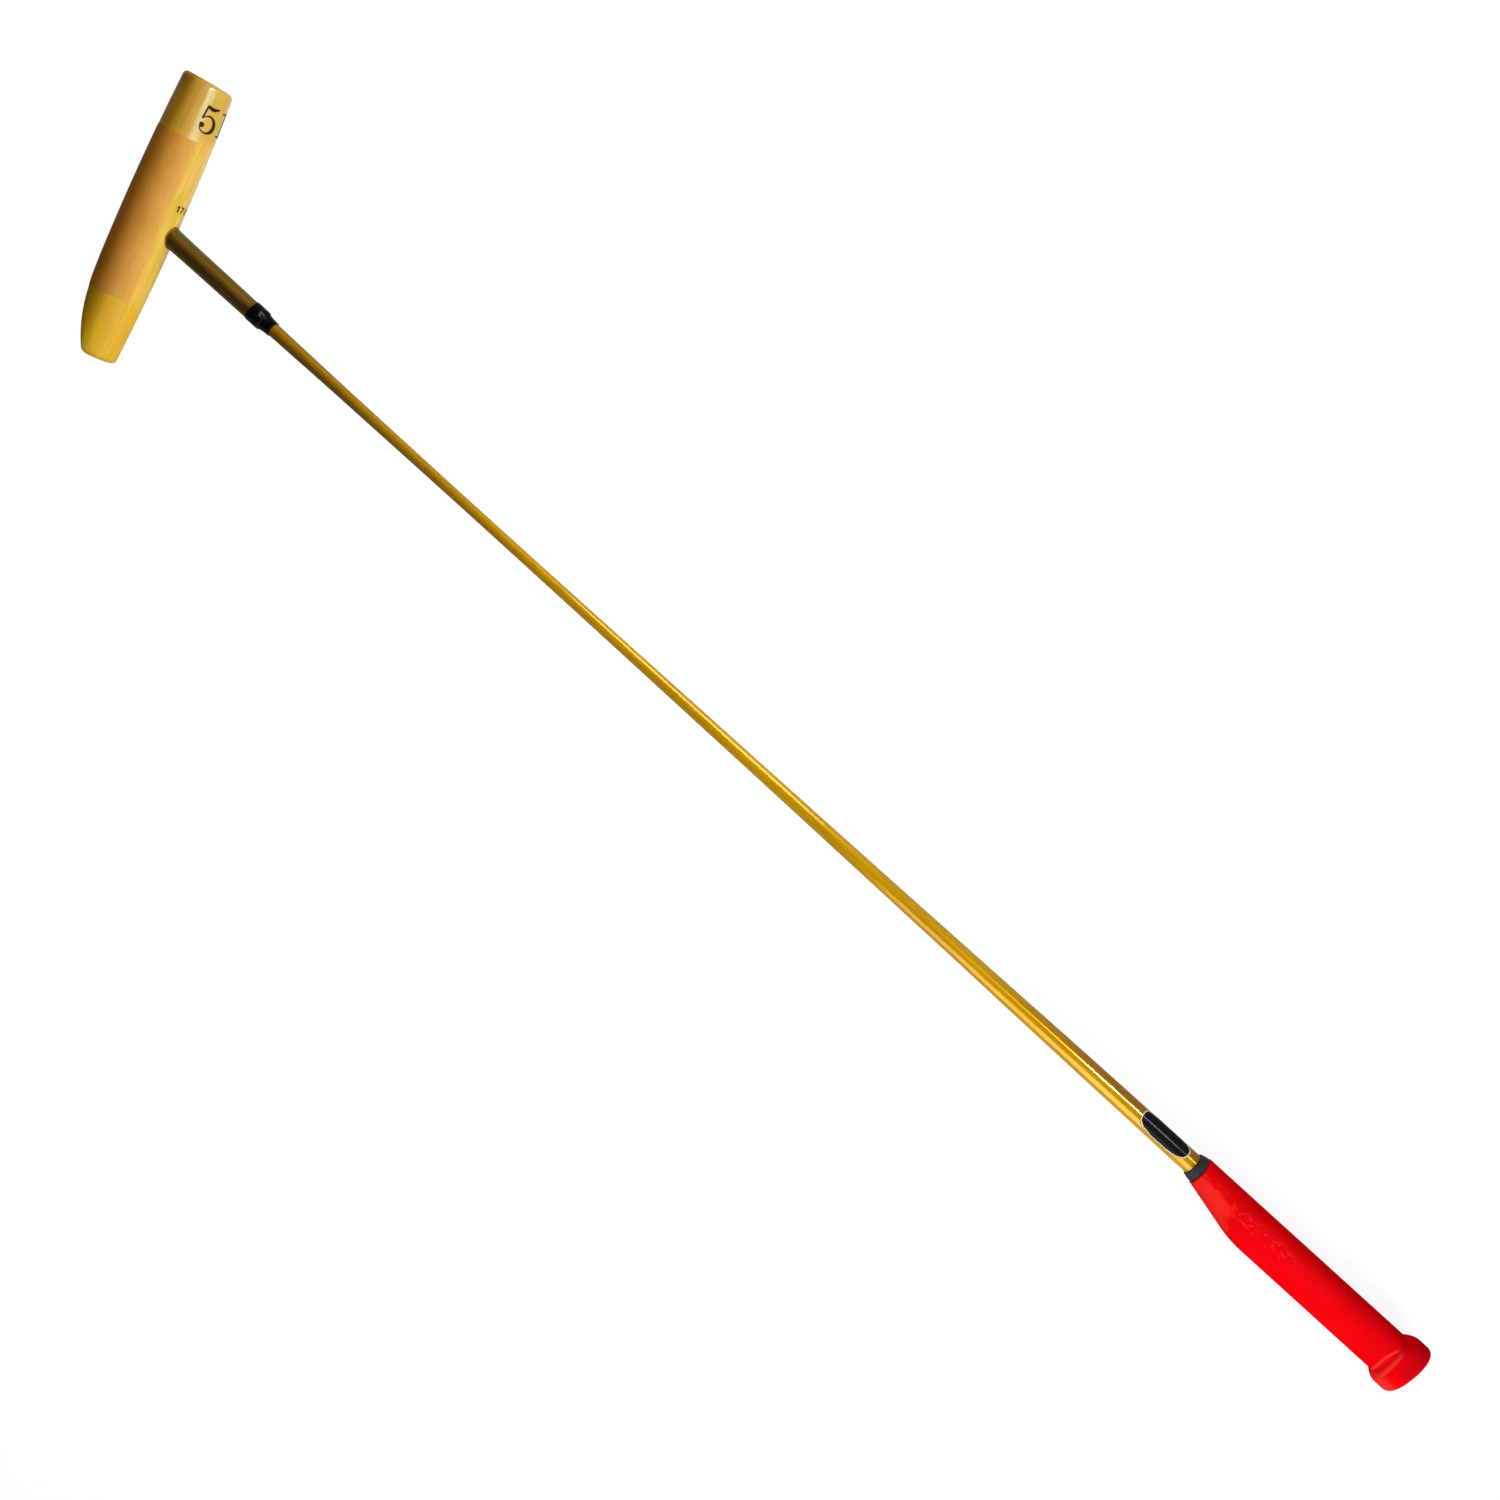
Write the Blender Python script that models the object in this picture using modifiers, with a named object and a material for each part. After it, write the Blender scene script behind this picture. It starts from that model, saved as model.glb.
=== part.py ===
"""Polo mallet: a timber barrel head wedged on a tapered shaft that ends in an off-centre rubber grip.

The mallet lies on its side. The shaft's axis runs along +X from the head to the grip, and the
head lies in the XY plane with its heel toward -Y. Lengths along the shaft are measured from the
point where the shaft's axis crosses the head's axis.
"""
import math

import bmesh
import bpy
from mathutils import Matrix, Vector

MM = 0.001
CLEARANCE = 0.3 * MM

# The mallet as a whole
OVERALL_LENGTH = 1295.4 * MM
HEAD_ANGLE = math.radians(75.0)

# The head: a barrel whose heel is bevelled on the underside
TOE_LENGTH = 108.7 * MM
HEEL_LENGTH = 111.3 * MM
HEAD_RADIUS = 22.0 * MM
HEAD_END_DROP = 2.8 * MM
HEAD_EDGE_ROUND = 3.5 * MM
TOE_SLANT = math.radians(3.0)
BEVEL_START = 34.7 * MM
BEVEL_SLOPE = 0.04
BEVEL_SWEEP_RADIUS = 145.0 * MM
BEVEL_SHARPNESS = 16
HEAD_SIDES = 44
BARREL_STEPS = 8
BEVEL_STEPS = 8
EDGE_STEPS = 4

# The cloth band let into the head
WRAP_START = -65.5 * MM
WRAP_END = 63.5 * MM
WRAP_THICKNESS = 0.5 * MM
WRAP_PROUD = 0.2 * MM
WRAP_EDGE_ANGLE = math.radians(40.0)
WRAP_SIDES = 36
WRAP_STEPS = 8

# The shaft: places along it and its diameter there
SHAFT_PLACES = [-30.0 * MM, 20.0 * MM, 115.0 * MM, 200.0 * MM, 330.0 * MM, 600.0 * MM, 800.0 * MM,
                970.0 * MM, 1090.0 * MM, 1400.0 * MM]
SHAFT_DIAMETERS = [13.6 * MM, 12.9 * MM, 10.9 * MM, 9.1 * MM, 8.2 * MM, 10.1 * MM, 12.8 * MM,
                   15.8 * MM, 16.7 * MM, 16.9 * MM]
SHAFT_WALL = 1.6 * MM
SHAFT_SIDES = 28
SHAFT_STEPS = 24
BORE_STEPS = 14

# The joint of shaft and head
DOWEL_LENGTH = 62.0 * MM
WEDGE_LENGTH = 19.0 * MM
WEDGE_WIDTH = 10.4 * MM
WEDGE_THICK_END = 3.2 * MM
WEDGE_THIN_END = 0.8 * MM
WEDGE_OVERRUN = 8.0 * MM

# The sleeve and the tape at the head end of the shaft
SLEEVE_SIDES = 40
SLEEVE_END = 113.0 * MM
SLEEVE_BASE_RADIUS = 9.6 * MM
SLEEVE_FLARE = 27.0 * MM
SLEEVE_FLARE_RADIUS = 8.0 * MM
SLEEVE_WAIST = 45.0 * MM
SLEEVE_WAIST_RADIUS = 7.75 * MM
SLEEVE_END_RADIUS = 7.3 * MM
TAPE_START = 100.5 * MM
TAPE_SHOULDER = 115.0 * MM
TAPE_FOOT = 119.5 * MM
TAPE_END = 123.0 * MM
TAPE_THICKNESS = 0.3 * MM

# The ring in front of the grip
RING_LENGTH = 7.5 * MM
RING_RADIUS = 10.8 * MM
RING_FRONT_RADIUS = 9.7 * MM
RING_EDGE_ROUND = 0.8 * MM
RING_SIDES = 40

# The grip, measured from the shaft's axis: top is the toe's side, bottom the heel's side
GRIP_LENGTH = 214.3 * MM
GRIP_NOSE_RADIUS = 11.5 * MM
GRIP_TOP = 11.3 * MM
GRIP_BOTTOM = 23.8 * MM
GRIP_HALF_THICKNESS = 15.6 * MM
GRIP_FLARE_LENGTH = 50.0 * MM
GRIP_FLARE_BLEND = 12.0 * MM
GRIP_NOSE_ROUNDNESS = 2.0
GRIP_ROUNDNESS = 2.35
GRIP_WALL = 2.6 * MM
GRIP_SIDES = 40

# The pommel at the end of the grip
POMMEL_LENGTH = 21.4 * MM
POMMEL_SHOULDER = 9.5 * MM
POMMEL_RISE = 5.2 * MM
POMMEL_HALF_THICKNESS = 17.2 * MM
POMMEL_EDGE_ROUND = 4.0 * MM
POMMEL_ROUNDNESS = 2.2
POMMEL_SLANT = math.radians(4.8)
POMMEL_SLANT_BLEND = 30.0 * MM

# The core halves inside the grip and the plug in the shaft's butt
PALLET_START = 24.0 * MM
PALLET_END_GAP = 8.0 * MM
PALLET_TOP = 6.5 * MM
BUTT_WALL = 8.0 * MM
PLUG_LENGTH = 14.0 * MM
PLUG_FLANGE = 1.5 * MM

AXIS_HEIGHT = HEAD_RADIUS + WRAP_PROUD
BUTT_END = OVERALL_LENGTH - HEAD_RADIUS / math.sin(HEAD_ANGLE)
GRIP_START = BUTT_END - GRIP_LENGTH
RING_START = GRIP_START - CLEARANCE - RING_LENGTH
POMMEL_START = BUTT_END - POMMEL_LENGTH
SHAFT_END = BUTT_END - BUTT_WALL
LIE_ANGLE = math.asin((AXIS_HEIGHT - POMMEL_HALF_THICKNESS) / (BUTT_END - POMMEL_EDGE_ROUND))


def clear_scene():
    """Starts from an empty scene."""
    for item in list(bpy.data.objects):
        bpy.data.objects.remove(item, do_unlink=True)


def new_collection(name):
    """Adds a collection to the scene."""
    collection = bpy.data.collections.new(name)
    bpy.context.scene.collection.children.link(collection)
    return collection


def finish(name, colour, roughness, metallic=0.0, alpha=1.0):
    """One material with the piece's colour and sheen."""
    material = bpy.data.materials.new(name)
    material.use_nodes = True
    shader = material.node_tree.nodes["Principled BSDF"]
    shader.inputs["Base Color"].default_value = (*colour, 1.0)
    shader.inputs["Roughness"].default_value = roughness
    shader.inputs["Metallic"].default_value = metallic
    shader.inputs["Alpha"].default_value = alpha
    material.diffuse_color = (*colour, alpha)
    return material


def shade_round(mesh, angle=35.0):
    """Smooth shading with real edges left sharp."""
    mesh.shade_smooth()
    mesh.set_sharp_from_angle(angle=math.radians(angle))


def mesh_object(name, bm, collection, parent):
    """Turns a bmesh into an object of a collection, with its faces pointing out."""
    bmesh.ops.recalc_face_normals(bm, faces=bm.faces[:])
    mesh = bpy.data.meshes.new(name)
    bm.to_mesh(mesh)
    bm.free()
    shade_round(mesh)
    item = bpy.data.objects.new(name, mesh)
    item.parent = parent
    collection.objects.link(item)
    return item


def loft(name, rings, collection, parent):
    """A solid skinned over closed rings of points, flat at both ends."""
    bm = bmesh.new()
    loops = [[bm.verts.new(point) for point in ring] for ring in rings]
    count = len(loops[0])
    for near, far in zip(loops, loops[1:]):
        for i in range(count):
            j = (i + 1) % count
            bm.faces.new((near[i], near[j], far[j], far[i]))
    bm.faces.new(loops[0][::-1])
    bm.faces.new(loops[-1])
    return mesh_object(name, bm, collection, parent)


def band(name, outer_rings, inner_rings, collection, parent):
    """A thin open band: an outer and an inner sheet of points joined along all four borders."""
    bm = bmesh.new()
    outer = [[bm.verts.new(point) for point in ring] for ring in outer_rings]
    inner = [[bm.verts.new(point) for point in ring] for ring in inner_rings]
    last = len(outer) - 1
    end = len(outer[0]) - 1
    for row in range(last):
        for i in range(end):
            bm.faces.new((outer[row][i], outer[row][i + 1], outer[row + 1][i + 1], outer[row + 1][i]))
            bm.faces.new((inner[row][i], inner[row + 1][i], inner[row + 1][i + 1], inner[row][i + 1]))
        for i in (0, end):
            bm.faces.new((outer[row][i], outer[row + 1][i], inner[row + 1][i], inner[row][i]))
    for row in (0, last):
        for i in range(end):
            bm.faces.new((outer[row][i], outer[row][i + 1], inner[row][i + 1], inner[row][i]))
    return mesh_object(name, bm, collection, parent)


def turned(name, profile, collection, parent, sides=SHAFT_SIDES, capped=True):
    """A shape turned about the shaft's axis from (place, radius) points.

    The points run down the outer side, from the butt end toward the head end. A capped profile
    ends on the axis, and the other kind is a closed loop round a wall.
    """
    points = [Vector((radius, 0.0, place)) for place, radius in profile]
    mesh = bpy.data.meshes.new(name)
    edges = [(i, i + 1) for i in range(len(points) - 1)]
    if not capped:
        edges.append((len(points) - 1, 0))
    mesh.from_pydata(points, edges, [])
    item = bpy.data.objects.new(name, mesh)
    collection.objects.link(item)
    item.parent = parent
    item.rotation_euler = (0.0, math.radians(90.0), 0.0)
    screw = item.modifiers.new("turn", "SCREW")
    screw.steps = sides
    screw.render_steps = sides
    screw.use_merge_vertices = True
    screw.merge_threshold = 0.00001
    screw.use_smooth_shade = True
    return item


def block(name, low, high, collection, parent):
    """A box between two corners."""
    bm = bmesh.new()
    low = Vector(low)
    high = Vector(high)
    bmesh.ops.create_cube(bm, size=1.0, matrix=Matrix.Translation((low + high) / 2)
                          @ Matrix.Diagonal((*(high - low), 1.0)))
    return mesh_object(name, bm, collection, parent)


def cut(item, cutter):
    """Cuts one object with another."""
    modifier = item.modifiers.new(f"cut {cutter.name}", "BOOLEAN")
    modifier.operation = "DIFFERENCE"
    modifier.solver = "EXACT"
    modifier.object = cutter


def smooth_value(place, places, values):
    """A value read from a monotone curve through the given points."""
    gaps = [b - a for a, b in zip(places, places[1:])]
    slopes = [(b - a) / gap for a, b, gap in zip(values, values[1:], gaps)]
    tangents = [slopes[0]]
    for before, after in zip(slopes, slopes[1:]):
        same_way = before * after > 0
        tangents.append(2 * before * after / (before + after) if same_way else 0.0)
    tangents.append(slopes[-1])
    place = min(max(place, places[0]), places[-1])
    i = min(sum(place >= p for p in places[1:]), len(gaps) - 1)
    t = (place - places[i]) / gaps[i]
    return ((1 + 2 * t) * (1 - t) ** 2 * values[i]
            + t * (1 - t) ** 2 * gaps[i] * tangents[i]
            + t * t * (3 - 2 * t) * values[i + 1]
            + t * t * (t - 1) * gaps[i] * tangents[i + 1])


def spread(first, last, count):
    """Evenly spaced values, both ends among them."""
    return [first + (last - first) * i / count for i in range(count + 1)]


def shaft_radius(place):
    """The shaft's outer radius at a place along it."""
    return smooth_value(place, SHAFT_PLACES, SHAFT_DIAMETERS) / 2


def shaft_profile(first, last, offset, steps):
    """The shaft's outline, moved out by an offset, from the butt end to the head end."""
    return [(place, shaft_radius(place) + offset) for place in reversed(spread(first, last, steps))]


def barrel_radius(place):
    """The head's radius at a place along its axis."""
    return HEAD_RADIUS - HEAD_END_DROP * (place / HEEL_LENGTH) ** 2


def bevel_level(place):
    """How far the bevelled underside lies below the head's axis."""
    beyond = place - BEVEL_START
    rise = BEVEL_SLOPE * beyond
    if beyond > 0:
        rise += beyond ** 2 / (2 * BEVEL_SWEEP_RADIUS)
    return HEAD_RADIUS - rise


def head_section(place, offset, angles=None, edge_angle=None):
    """Points round the head at a place: a circle whose underside is cut level by the bevel.

    The angles start at the shaft's side. The two lines are met through a soft minimum, which
    rounds the corner between them.
    """
    radius = barrel_radius(place) + offset
    level = bevel_level(place) + offset
    middle = max(0.0, (radius - level) / 2)
    if edge_angle is not None:
        first = math.atan2(radius * math.sin(edge_angle), radius * math.cos(edge_angle) - middle)
        angles = spread(first, 2 * math.pi - first, WRAP_SIDES)
    points = []
    for angle in angles:
        to_circle = (-middle * math.cos(angle)
                     + math.sqrt(radius ** 2 - (middle * math.sin(angle)) ** 2))
        reach = to_circle
        if math.cos(angle) < -0.01:
            to_bevel = (middle + level) / -math.cos(angle)
            total = to_circle ** -BEVEL_SHARPNESS + to_bevel ** -BEVEL_SHARPNESS
            reach = total ** (-1 / BEVEL_SHARPNESS)
        points.append((place, middle + reach * math.cos(angle), reach * math.sin(angle)))
    return points


def head_stations():
    """Places along the head, each with the offset that rounds its two end edges."""
    edge = []
    for i in range(EDGE_STEPS + 1):
        turn = math.pi / 2 * i / EDGE_STEPS
        edge.append((HEAD_EDGE_ROUND * (1 - math.cos(turn)), HEAD_EDGE_ROUND * (math.sin(turn) - 1)))
    toe = [(-TOE_LENGTH + depth, offset) for depth, offset in edge]
    heel = [(HEEL_LENGTH - depth, offset) for depth, offset in reversed(edge)]
    barrel = [(place, 0.0) for place in spread(toe[-1][0], BEVEL_START, BARREL_STEPS)[1:]]
    bevel = [(place, 0.0) for place in spread(BEVEL_START, heel[0][0], BEVEL_STEPS)[1:-1]]
    return toe + barrel + bevel + heel


def make_head(parts, head_frame):
    """The timber barrel, its sections leaning over toward the slanted toe end."""
    angles = [2 * math.pi * i / HEAD_SIDES for i in range(HEAD_SIDES)]
    rings = []
    for place, offset in head_stations():
        share = max(0.0, (WRAP_START - place) / (WRAP_START + TOE_LENGTH))
        lean = share * math.tan(TOE_SLANT)
        rings.append([(x + lean * y, y, z) for x, y, z in head_section(place, offset, angles)])
    return loft("head", rings, parts, head_frame)


def wrap_rings(first, last, offset, edge_angle):
    """Rows of points for one face of the cloth band."""
    return [head_section(place, offset, edge_angle=edge_angle) for place in spread(first, last, WRAP_STEPS)]


def make_wrap(parts, head_frame):
    """The cloth band round the underside of the head, open on the shaft's side."""
    outer = wrap_rings(WRAP_START, WRAP_END, WRAP_PROUD, WRAP_EDGE_ANGLE)
    inner = wrap_rings(WRAP_START, WRAP_END, WRAP_PROUD - WRAP_THICKNESS, WRAP_EDGE_ANGLE)
    return band("head_wrap", outer, inner, parts, head_frame)


def make_wrap_recess(cutters, head_frame):
    """The shallow recess in the head that takes the band."""
    edge_angle = WRAP_EDGE_ANGLE - CLEARANCE / HEAD_RADIUS
    start = WRAP_START - CLEARANCE
    end = WRAP_END + CLEARANCE
    outer = wrap_rings(start, end, WRAP_PROUD + WRAP_THICKNESS, edge_angle)
    inner = wrap_rings(start, end, WRAP_PROUD - WRAP_THICKNESS - CLEARANCE, edge_angle)
    return band("wrap_recess", outer, inner, cutters, head_frame)


def make_underside_cradle(cutters, head_frame):
    """A block under the head, hollowed to the barrel, that trims what comes through it flush."""
    reach = 2 * HEAD_RADIUS
    cradle = block("underside_cradle", (-reach, -reach, -reach), (reach, -HEAD_RADIUS / 3, reach),
                   cutters, head_frame)
    angles = [2 * math.pi * i / HEAD_SIDES for i in range(HEAD_SIDES)]
    past = reach + HEAD_RADIUS / 2
    rings = [head_section(place, 0.0, angles) for place in spread(-past, past, BARREL_STEPS)]
    cut(cradle, loft("barrel_form", rings, cutters, head_frame))
    return cradle


def make_barrel_seat(cutters, head_frame):
    """The head's outer form with its clearance, which shapes the foot of the sleeve."""
    reach = 2 * HEAD_RADIUS
    angles = [2 * math.pi * i / HEAD_SIDES for i in range(HEAD_SIDES)]
    rings = [head_section(place, CLEARANCE, angles) for place in spread(-reach, reach, BARREL_STEPS)]
    return loft("barrel_seat", rings, cutters, head_frame)


def make_shaft(parts, root):
    """The tapered tube from the head's underside to the pommel."""
    tip = SHAFT_PLACES[0]
    outer = shaft_profile(tip, SHAFT_END, 0.0, SHAFT_STEPS)
    inner = [(place, radius - SHAFT_WALL) for place, radius in reversed(outer)]
    return turned("shaft", outer + inner, parts, root, capped=False)


def make_shaft_bore(name, first, last, clearance, cutters, root):
    """A round cutter that follows the shaft with a clearance."""
    outline = shaft_profile(first, last, clearance, BORE_STEPS)
    profile = [(outline[0][0], 0.0)] + outline + [(outline[-1][0], 0.0)]
    return turned(name, profile, cutters, root)


def make_dowel(parts, root):
    """The timber core of the shaft's tip."""
    tip = SHAFT_PLACES[0]
    outline = shaft_profile(tip, tip + DOWEL_LENGTH, -SHAFT_WALL - CLEARANCE, 6)
    profile = [(outline[0][0], 0.0)] + outline + [(outline[-1][0], 0.0)]
    return turned("tip_dowel", profile, parts, root)


def wedge_rings(spare, width):
    """Two rectangles, the thick one past the head's underside and the thin one inside the shaft."""
    underside = HEAD_RADIUS / math.sin(HEAD_ANGLE)
    growth = (WEDGE_THICK_END - WEDGE_THIN_END) / WEDGE_LENGTH
    ends = [(-underside - WEDGE_OVERRUN, WEDGE_THICK_END + growth * WEDGE_OVERRUN),
            (-underside + WEDGE_LENGTH + spare, WEDGE_THIN_END - growth * spare)]
    rings = []
    for place, thickness in ends:
        half = thickness / 2 + spare
        rings.append([(place, -half, -width / 2), (place, half, -width / 2),
                      (place, half, width / 2), (place, -half, width / 2)])
    return rings


def make_sleeve(parts, root):
    """The smoky tube that stands on the head round the shaft, cut later to the barrel."""
    start = HEAD_RADIUS / 2
    outer = [(SLEEVE_END, SLEEVE_END_RADIUS), (SLEEVE_WAIST, SLEEVE_WAIST_RADIUS),
             (SLEEVE_FLARE, SLEEVE_FLARE_RADIUS), (start, SLEEVE_BASE_RADIUS)]
    inner = [(place, shaft_radius(place) + CLEARANCE) for place in spread(start, SLEEVE_END, 6)]
    return turned("shaft_sleeve", outer + inner, parts, root, sides=SLEEVE_SIDES, capped=False)


def make_tape(parts, root):
    """The tape that binds the sleeve's end and steps down to the shaft."""
    taper = (SLEEVE_WAIST_RADIUS - SLEEVE_END_RADIUS) / (SLEEVE_END - SLEEVE_WAIST)
    at_end = SLEEVE_END_RADIUS + CLEARANCE
    at_start = at_end + taper * (SLEEVE_END - TAPE_START)
    at_foot = shaft_radius(TAPE_FOOT) + CLEARANCE
    inner = [(TAPE_START, at_start), (SLEEVE_END + CLEARANCE, at_end), (TAPE_FOOT, at_foot),
             (TAPE_END, at_foot)]
    outer = [(TAPE_END, at_foot + TAPE_THICKNESS), (TAPE_FOOT + TAPE_THICKNESS, at_foot + TAPE_THICKNESS),
             (TAPE_SHOULDER, at_end + TAPE_THICKNESS), (TAPE_START, at_start + TAPE_THICKNESS)]
    return turned("sleeve_tape", outer + inner, parts, root, sides=SLEEVE_SIDES, capped=False)


def make_ring(parts, root):
    """The rubber ring in front of the grip, its front edge rounded."""
    back = RING_START + RING_LENGTH
    outer = [(back, RING_RADIUS), (RING_START + 3 * RING_EDGE_ROUND, RING_RADIUS - RING_EDGE_ROUND / 2),
             (RING_START + RING_EDGE_ROUND, RING_FRONT_RADIUS),
             (RING_START, RING_FRONT_RADIUS - RING_EDGE_ROUND)]
    inner = [(RING_START, shaft_radius(RING_START) + CLEARANCE), (back, shaft_radius(back) + CLEARANCE)]
    return turned("grip_ring", outer + inner, parts, root, sides=RING_SIDES, capped=False)


def flared(place, nose, body):
    """A size of the grip that grows in a straight line from its nose and eases into the body."""
    corner = GRIP_START + GRIP_FLARE_LENGTH
    slope = (body - nose) / GRIP_FLARE_LENGTH
    if place < corner - GRIP_FLARE_BLEND:
        return nose + slope * (place - GRIP_START)
    if place > corner + GRIP_FLARE_BLEND:
        return body
    return body - slope * (corner + GRIP_FLARE_BLEND - place) ** 2 / (4 * GRIP_FLARE_BLEND)


def pommel_share(place):
    """How far the grip has swollen into the pommel, from 0 to 1, along its rounded shoulder."""
    t = min(max((place - POMMEL_START) / POMMEL_SHOULDER, 0.0), 1.0)
    return t * (2 - t)


def grip_section(place, inset):
    """Points round the grip at a place: an oval that sits off-centre on the shaft.

    Toward the pommel the sections lean over, because the pommel sits aslant on the body.
    """
    share = pommel_share(place)
    before = (POMMEL_START - place) / POMMEL_SLANT_BLEND
    lean = math.tan(POMMEL_SLANT) * (1.0 - min(max(before, 0.0), 1.0))
    top = flared(place, GRIP_NOSE_RADIUS, GRIP_TOP) + share * POMMEL_RISE - inset
    bottom = flared(place, GRIP_NOSE_RADIUS, GRIP_BOTTOM) + share * POMMEL_RISE - inset
    body = flared(place, GRIP_NOSE_RADIUS, GRIP_HALF_THICKNESS)
    half = body + share * (POMMEL_HALF_THICKNESS - GRIP_HALF_THICKNESS) - inset
    oval = flared(place, GRIP_NOSE_ROUNDNESS, GRIP_ROUNDNESS)
    power = 2 / (oval + share * (POMMEL_ROUNDNESS - GRIP_ROUNDNESS))
    centre = (top - bottom) / 2
    points = []
    for i in range(GRIP_SIDES):
        angle = 2 * math.pi * i / GRIP_SIDES
        across = math.copysign(abs(math.cos(angle)) ** power, math.cos(angle))
        up = math.copysign(abs(math.sin(angle)) ** power, math.sin(angle))
        reach = (top + bottom) / 2 * across
        points.append((place + lean * reach, centre + reach, half * up))
    return points


def grip_rings(first, last, inset):
    """Sections of the grip's straight body between two places."""
    corner = GRIP_START + GRIP_FLARE_LENGTH
    marks = [first] + spread(corner - GRIP_FLARE_BLEND, corner + GRIP_FLARE_BLEND, 6)
    marks = [mark for mark in marks if mark >= first]
    return [grip_section(place, inset) for place in marks + spread(marks[-1], last, 3)[1:]]


def make_grip(parts, root):
    """The rubber moulding: flared nose, oval body and pommel with a rounded rim."""
    rings = grip_rings(GRIP_START, POMMEL_START, 0.0)
    shoulder = spread(POMMEL_START, POMMEL_START + POMMEL_SHOULDER, 6)[1:]
    rings += [grip_section(place, 0.0) for place in shoulder]
    for i in range(EDGE_STEPS + 1):
        turn = math.pi / 2 * i / EDGE_STEPS
        place = BUTT_END - POMMEL_EDGE_ROUND * (1 - math.sin(turn))
        rings.append(grip_section(place, POMMEL_EDGE_ROUND * (1 - math.cos(turn))))
    return loft("grip", rings, parts, root)


def make_core_space(cutters, root):
    """The hollow in the grip that takes the core halves."""
    rings = grip_rings(GRIP_START + PALLET_START, POMMEL_START - PALLET_END_GAP, GRIP_WALL)
    return loft("core_space", rings, cutters, root)


def make_pallet(name, side, shaft_bore, parts, cutters, root):
    """One half of the grip's core, troughed for the shaft."""
    first = GRIP_START + PALLET_START + CLEARANCE
    last = POMMEL_START - PALLET_END_GAP - CLEARANCE
    pallet = loft(name, grip_rings(first, last, GRIP_WALL + CLEARANCE), parts, root)
    far = 2 * GRIP_BOTTOM
    middle = side * CLEARANCE / 2
    low, high = sorted((middle, -side * far))
    other_half = block(f"beside_{name}", (first - far, -far, low), (last + far, far, high), cutters, root)
    above = block(f"above_{name}", (first - far, PALLET_TOP, -far), (last + far, far, far), cutters, root)
    for cutter in (shaft_bore, other_half, above):
        cut(pallet, cutter)
    return pallet


def make_plug(parts, root):
    """The plug in the shaft's butt: a stem with a flange that covers the tube's end."""
    stem = shaft_radius(SHAFT_END) - SHAFT_WALL - CLEARANCE
    flange = shaft_radius(SHAFT_END)
    face = SHAFT_END + CLEARANCE
    profile = [(face + PLUG_FLANGE, 0.0), (face + PLUG_FLANGE, flange), (face, flange), (face, stem),
               (SHAFT_END - PLUG_LENGTH, stem), (SHAFT_END - PLUG_LENGTH, 0.0)]
    return turned("butt_plug", profile, parts, root)


def place_on_ground(root, pieces):
    """Moves the mallet so that it lies on the ground with its bounding box centred on the origin."""
    bpy.context.view_layer.update()
    depsgraph = bpy.context.evaluated_depsgraph_get()
    corners = []
    for piece in pieces:
        shape = piece.evaluated_get(depsgraph)
        corners += [shape.matrix_world @ vertex.co for vertex in shape.data.vertices]
    low = [min(corner[i] for corner in corners) for i in range(3)]
    high = [max(corner[i] for corner in corners) for i in range(3)]
    root.location = (-(low[0] + high[0]) / 2, -(low[1] + high[1]) / 2, -low[2])


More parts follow.
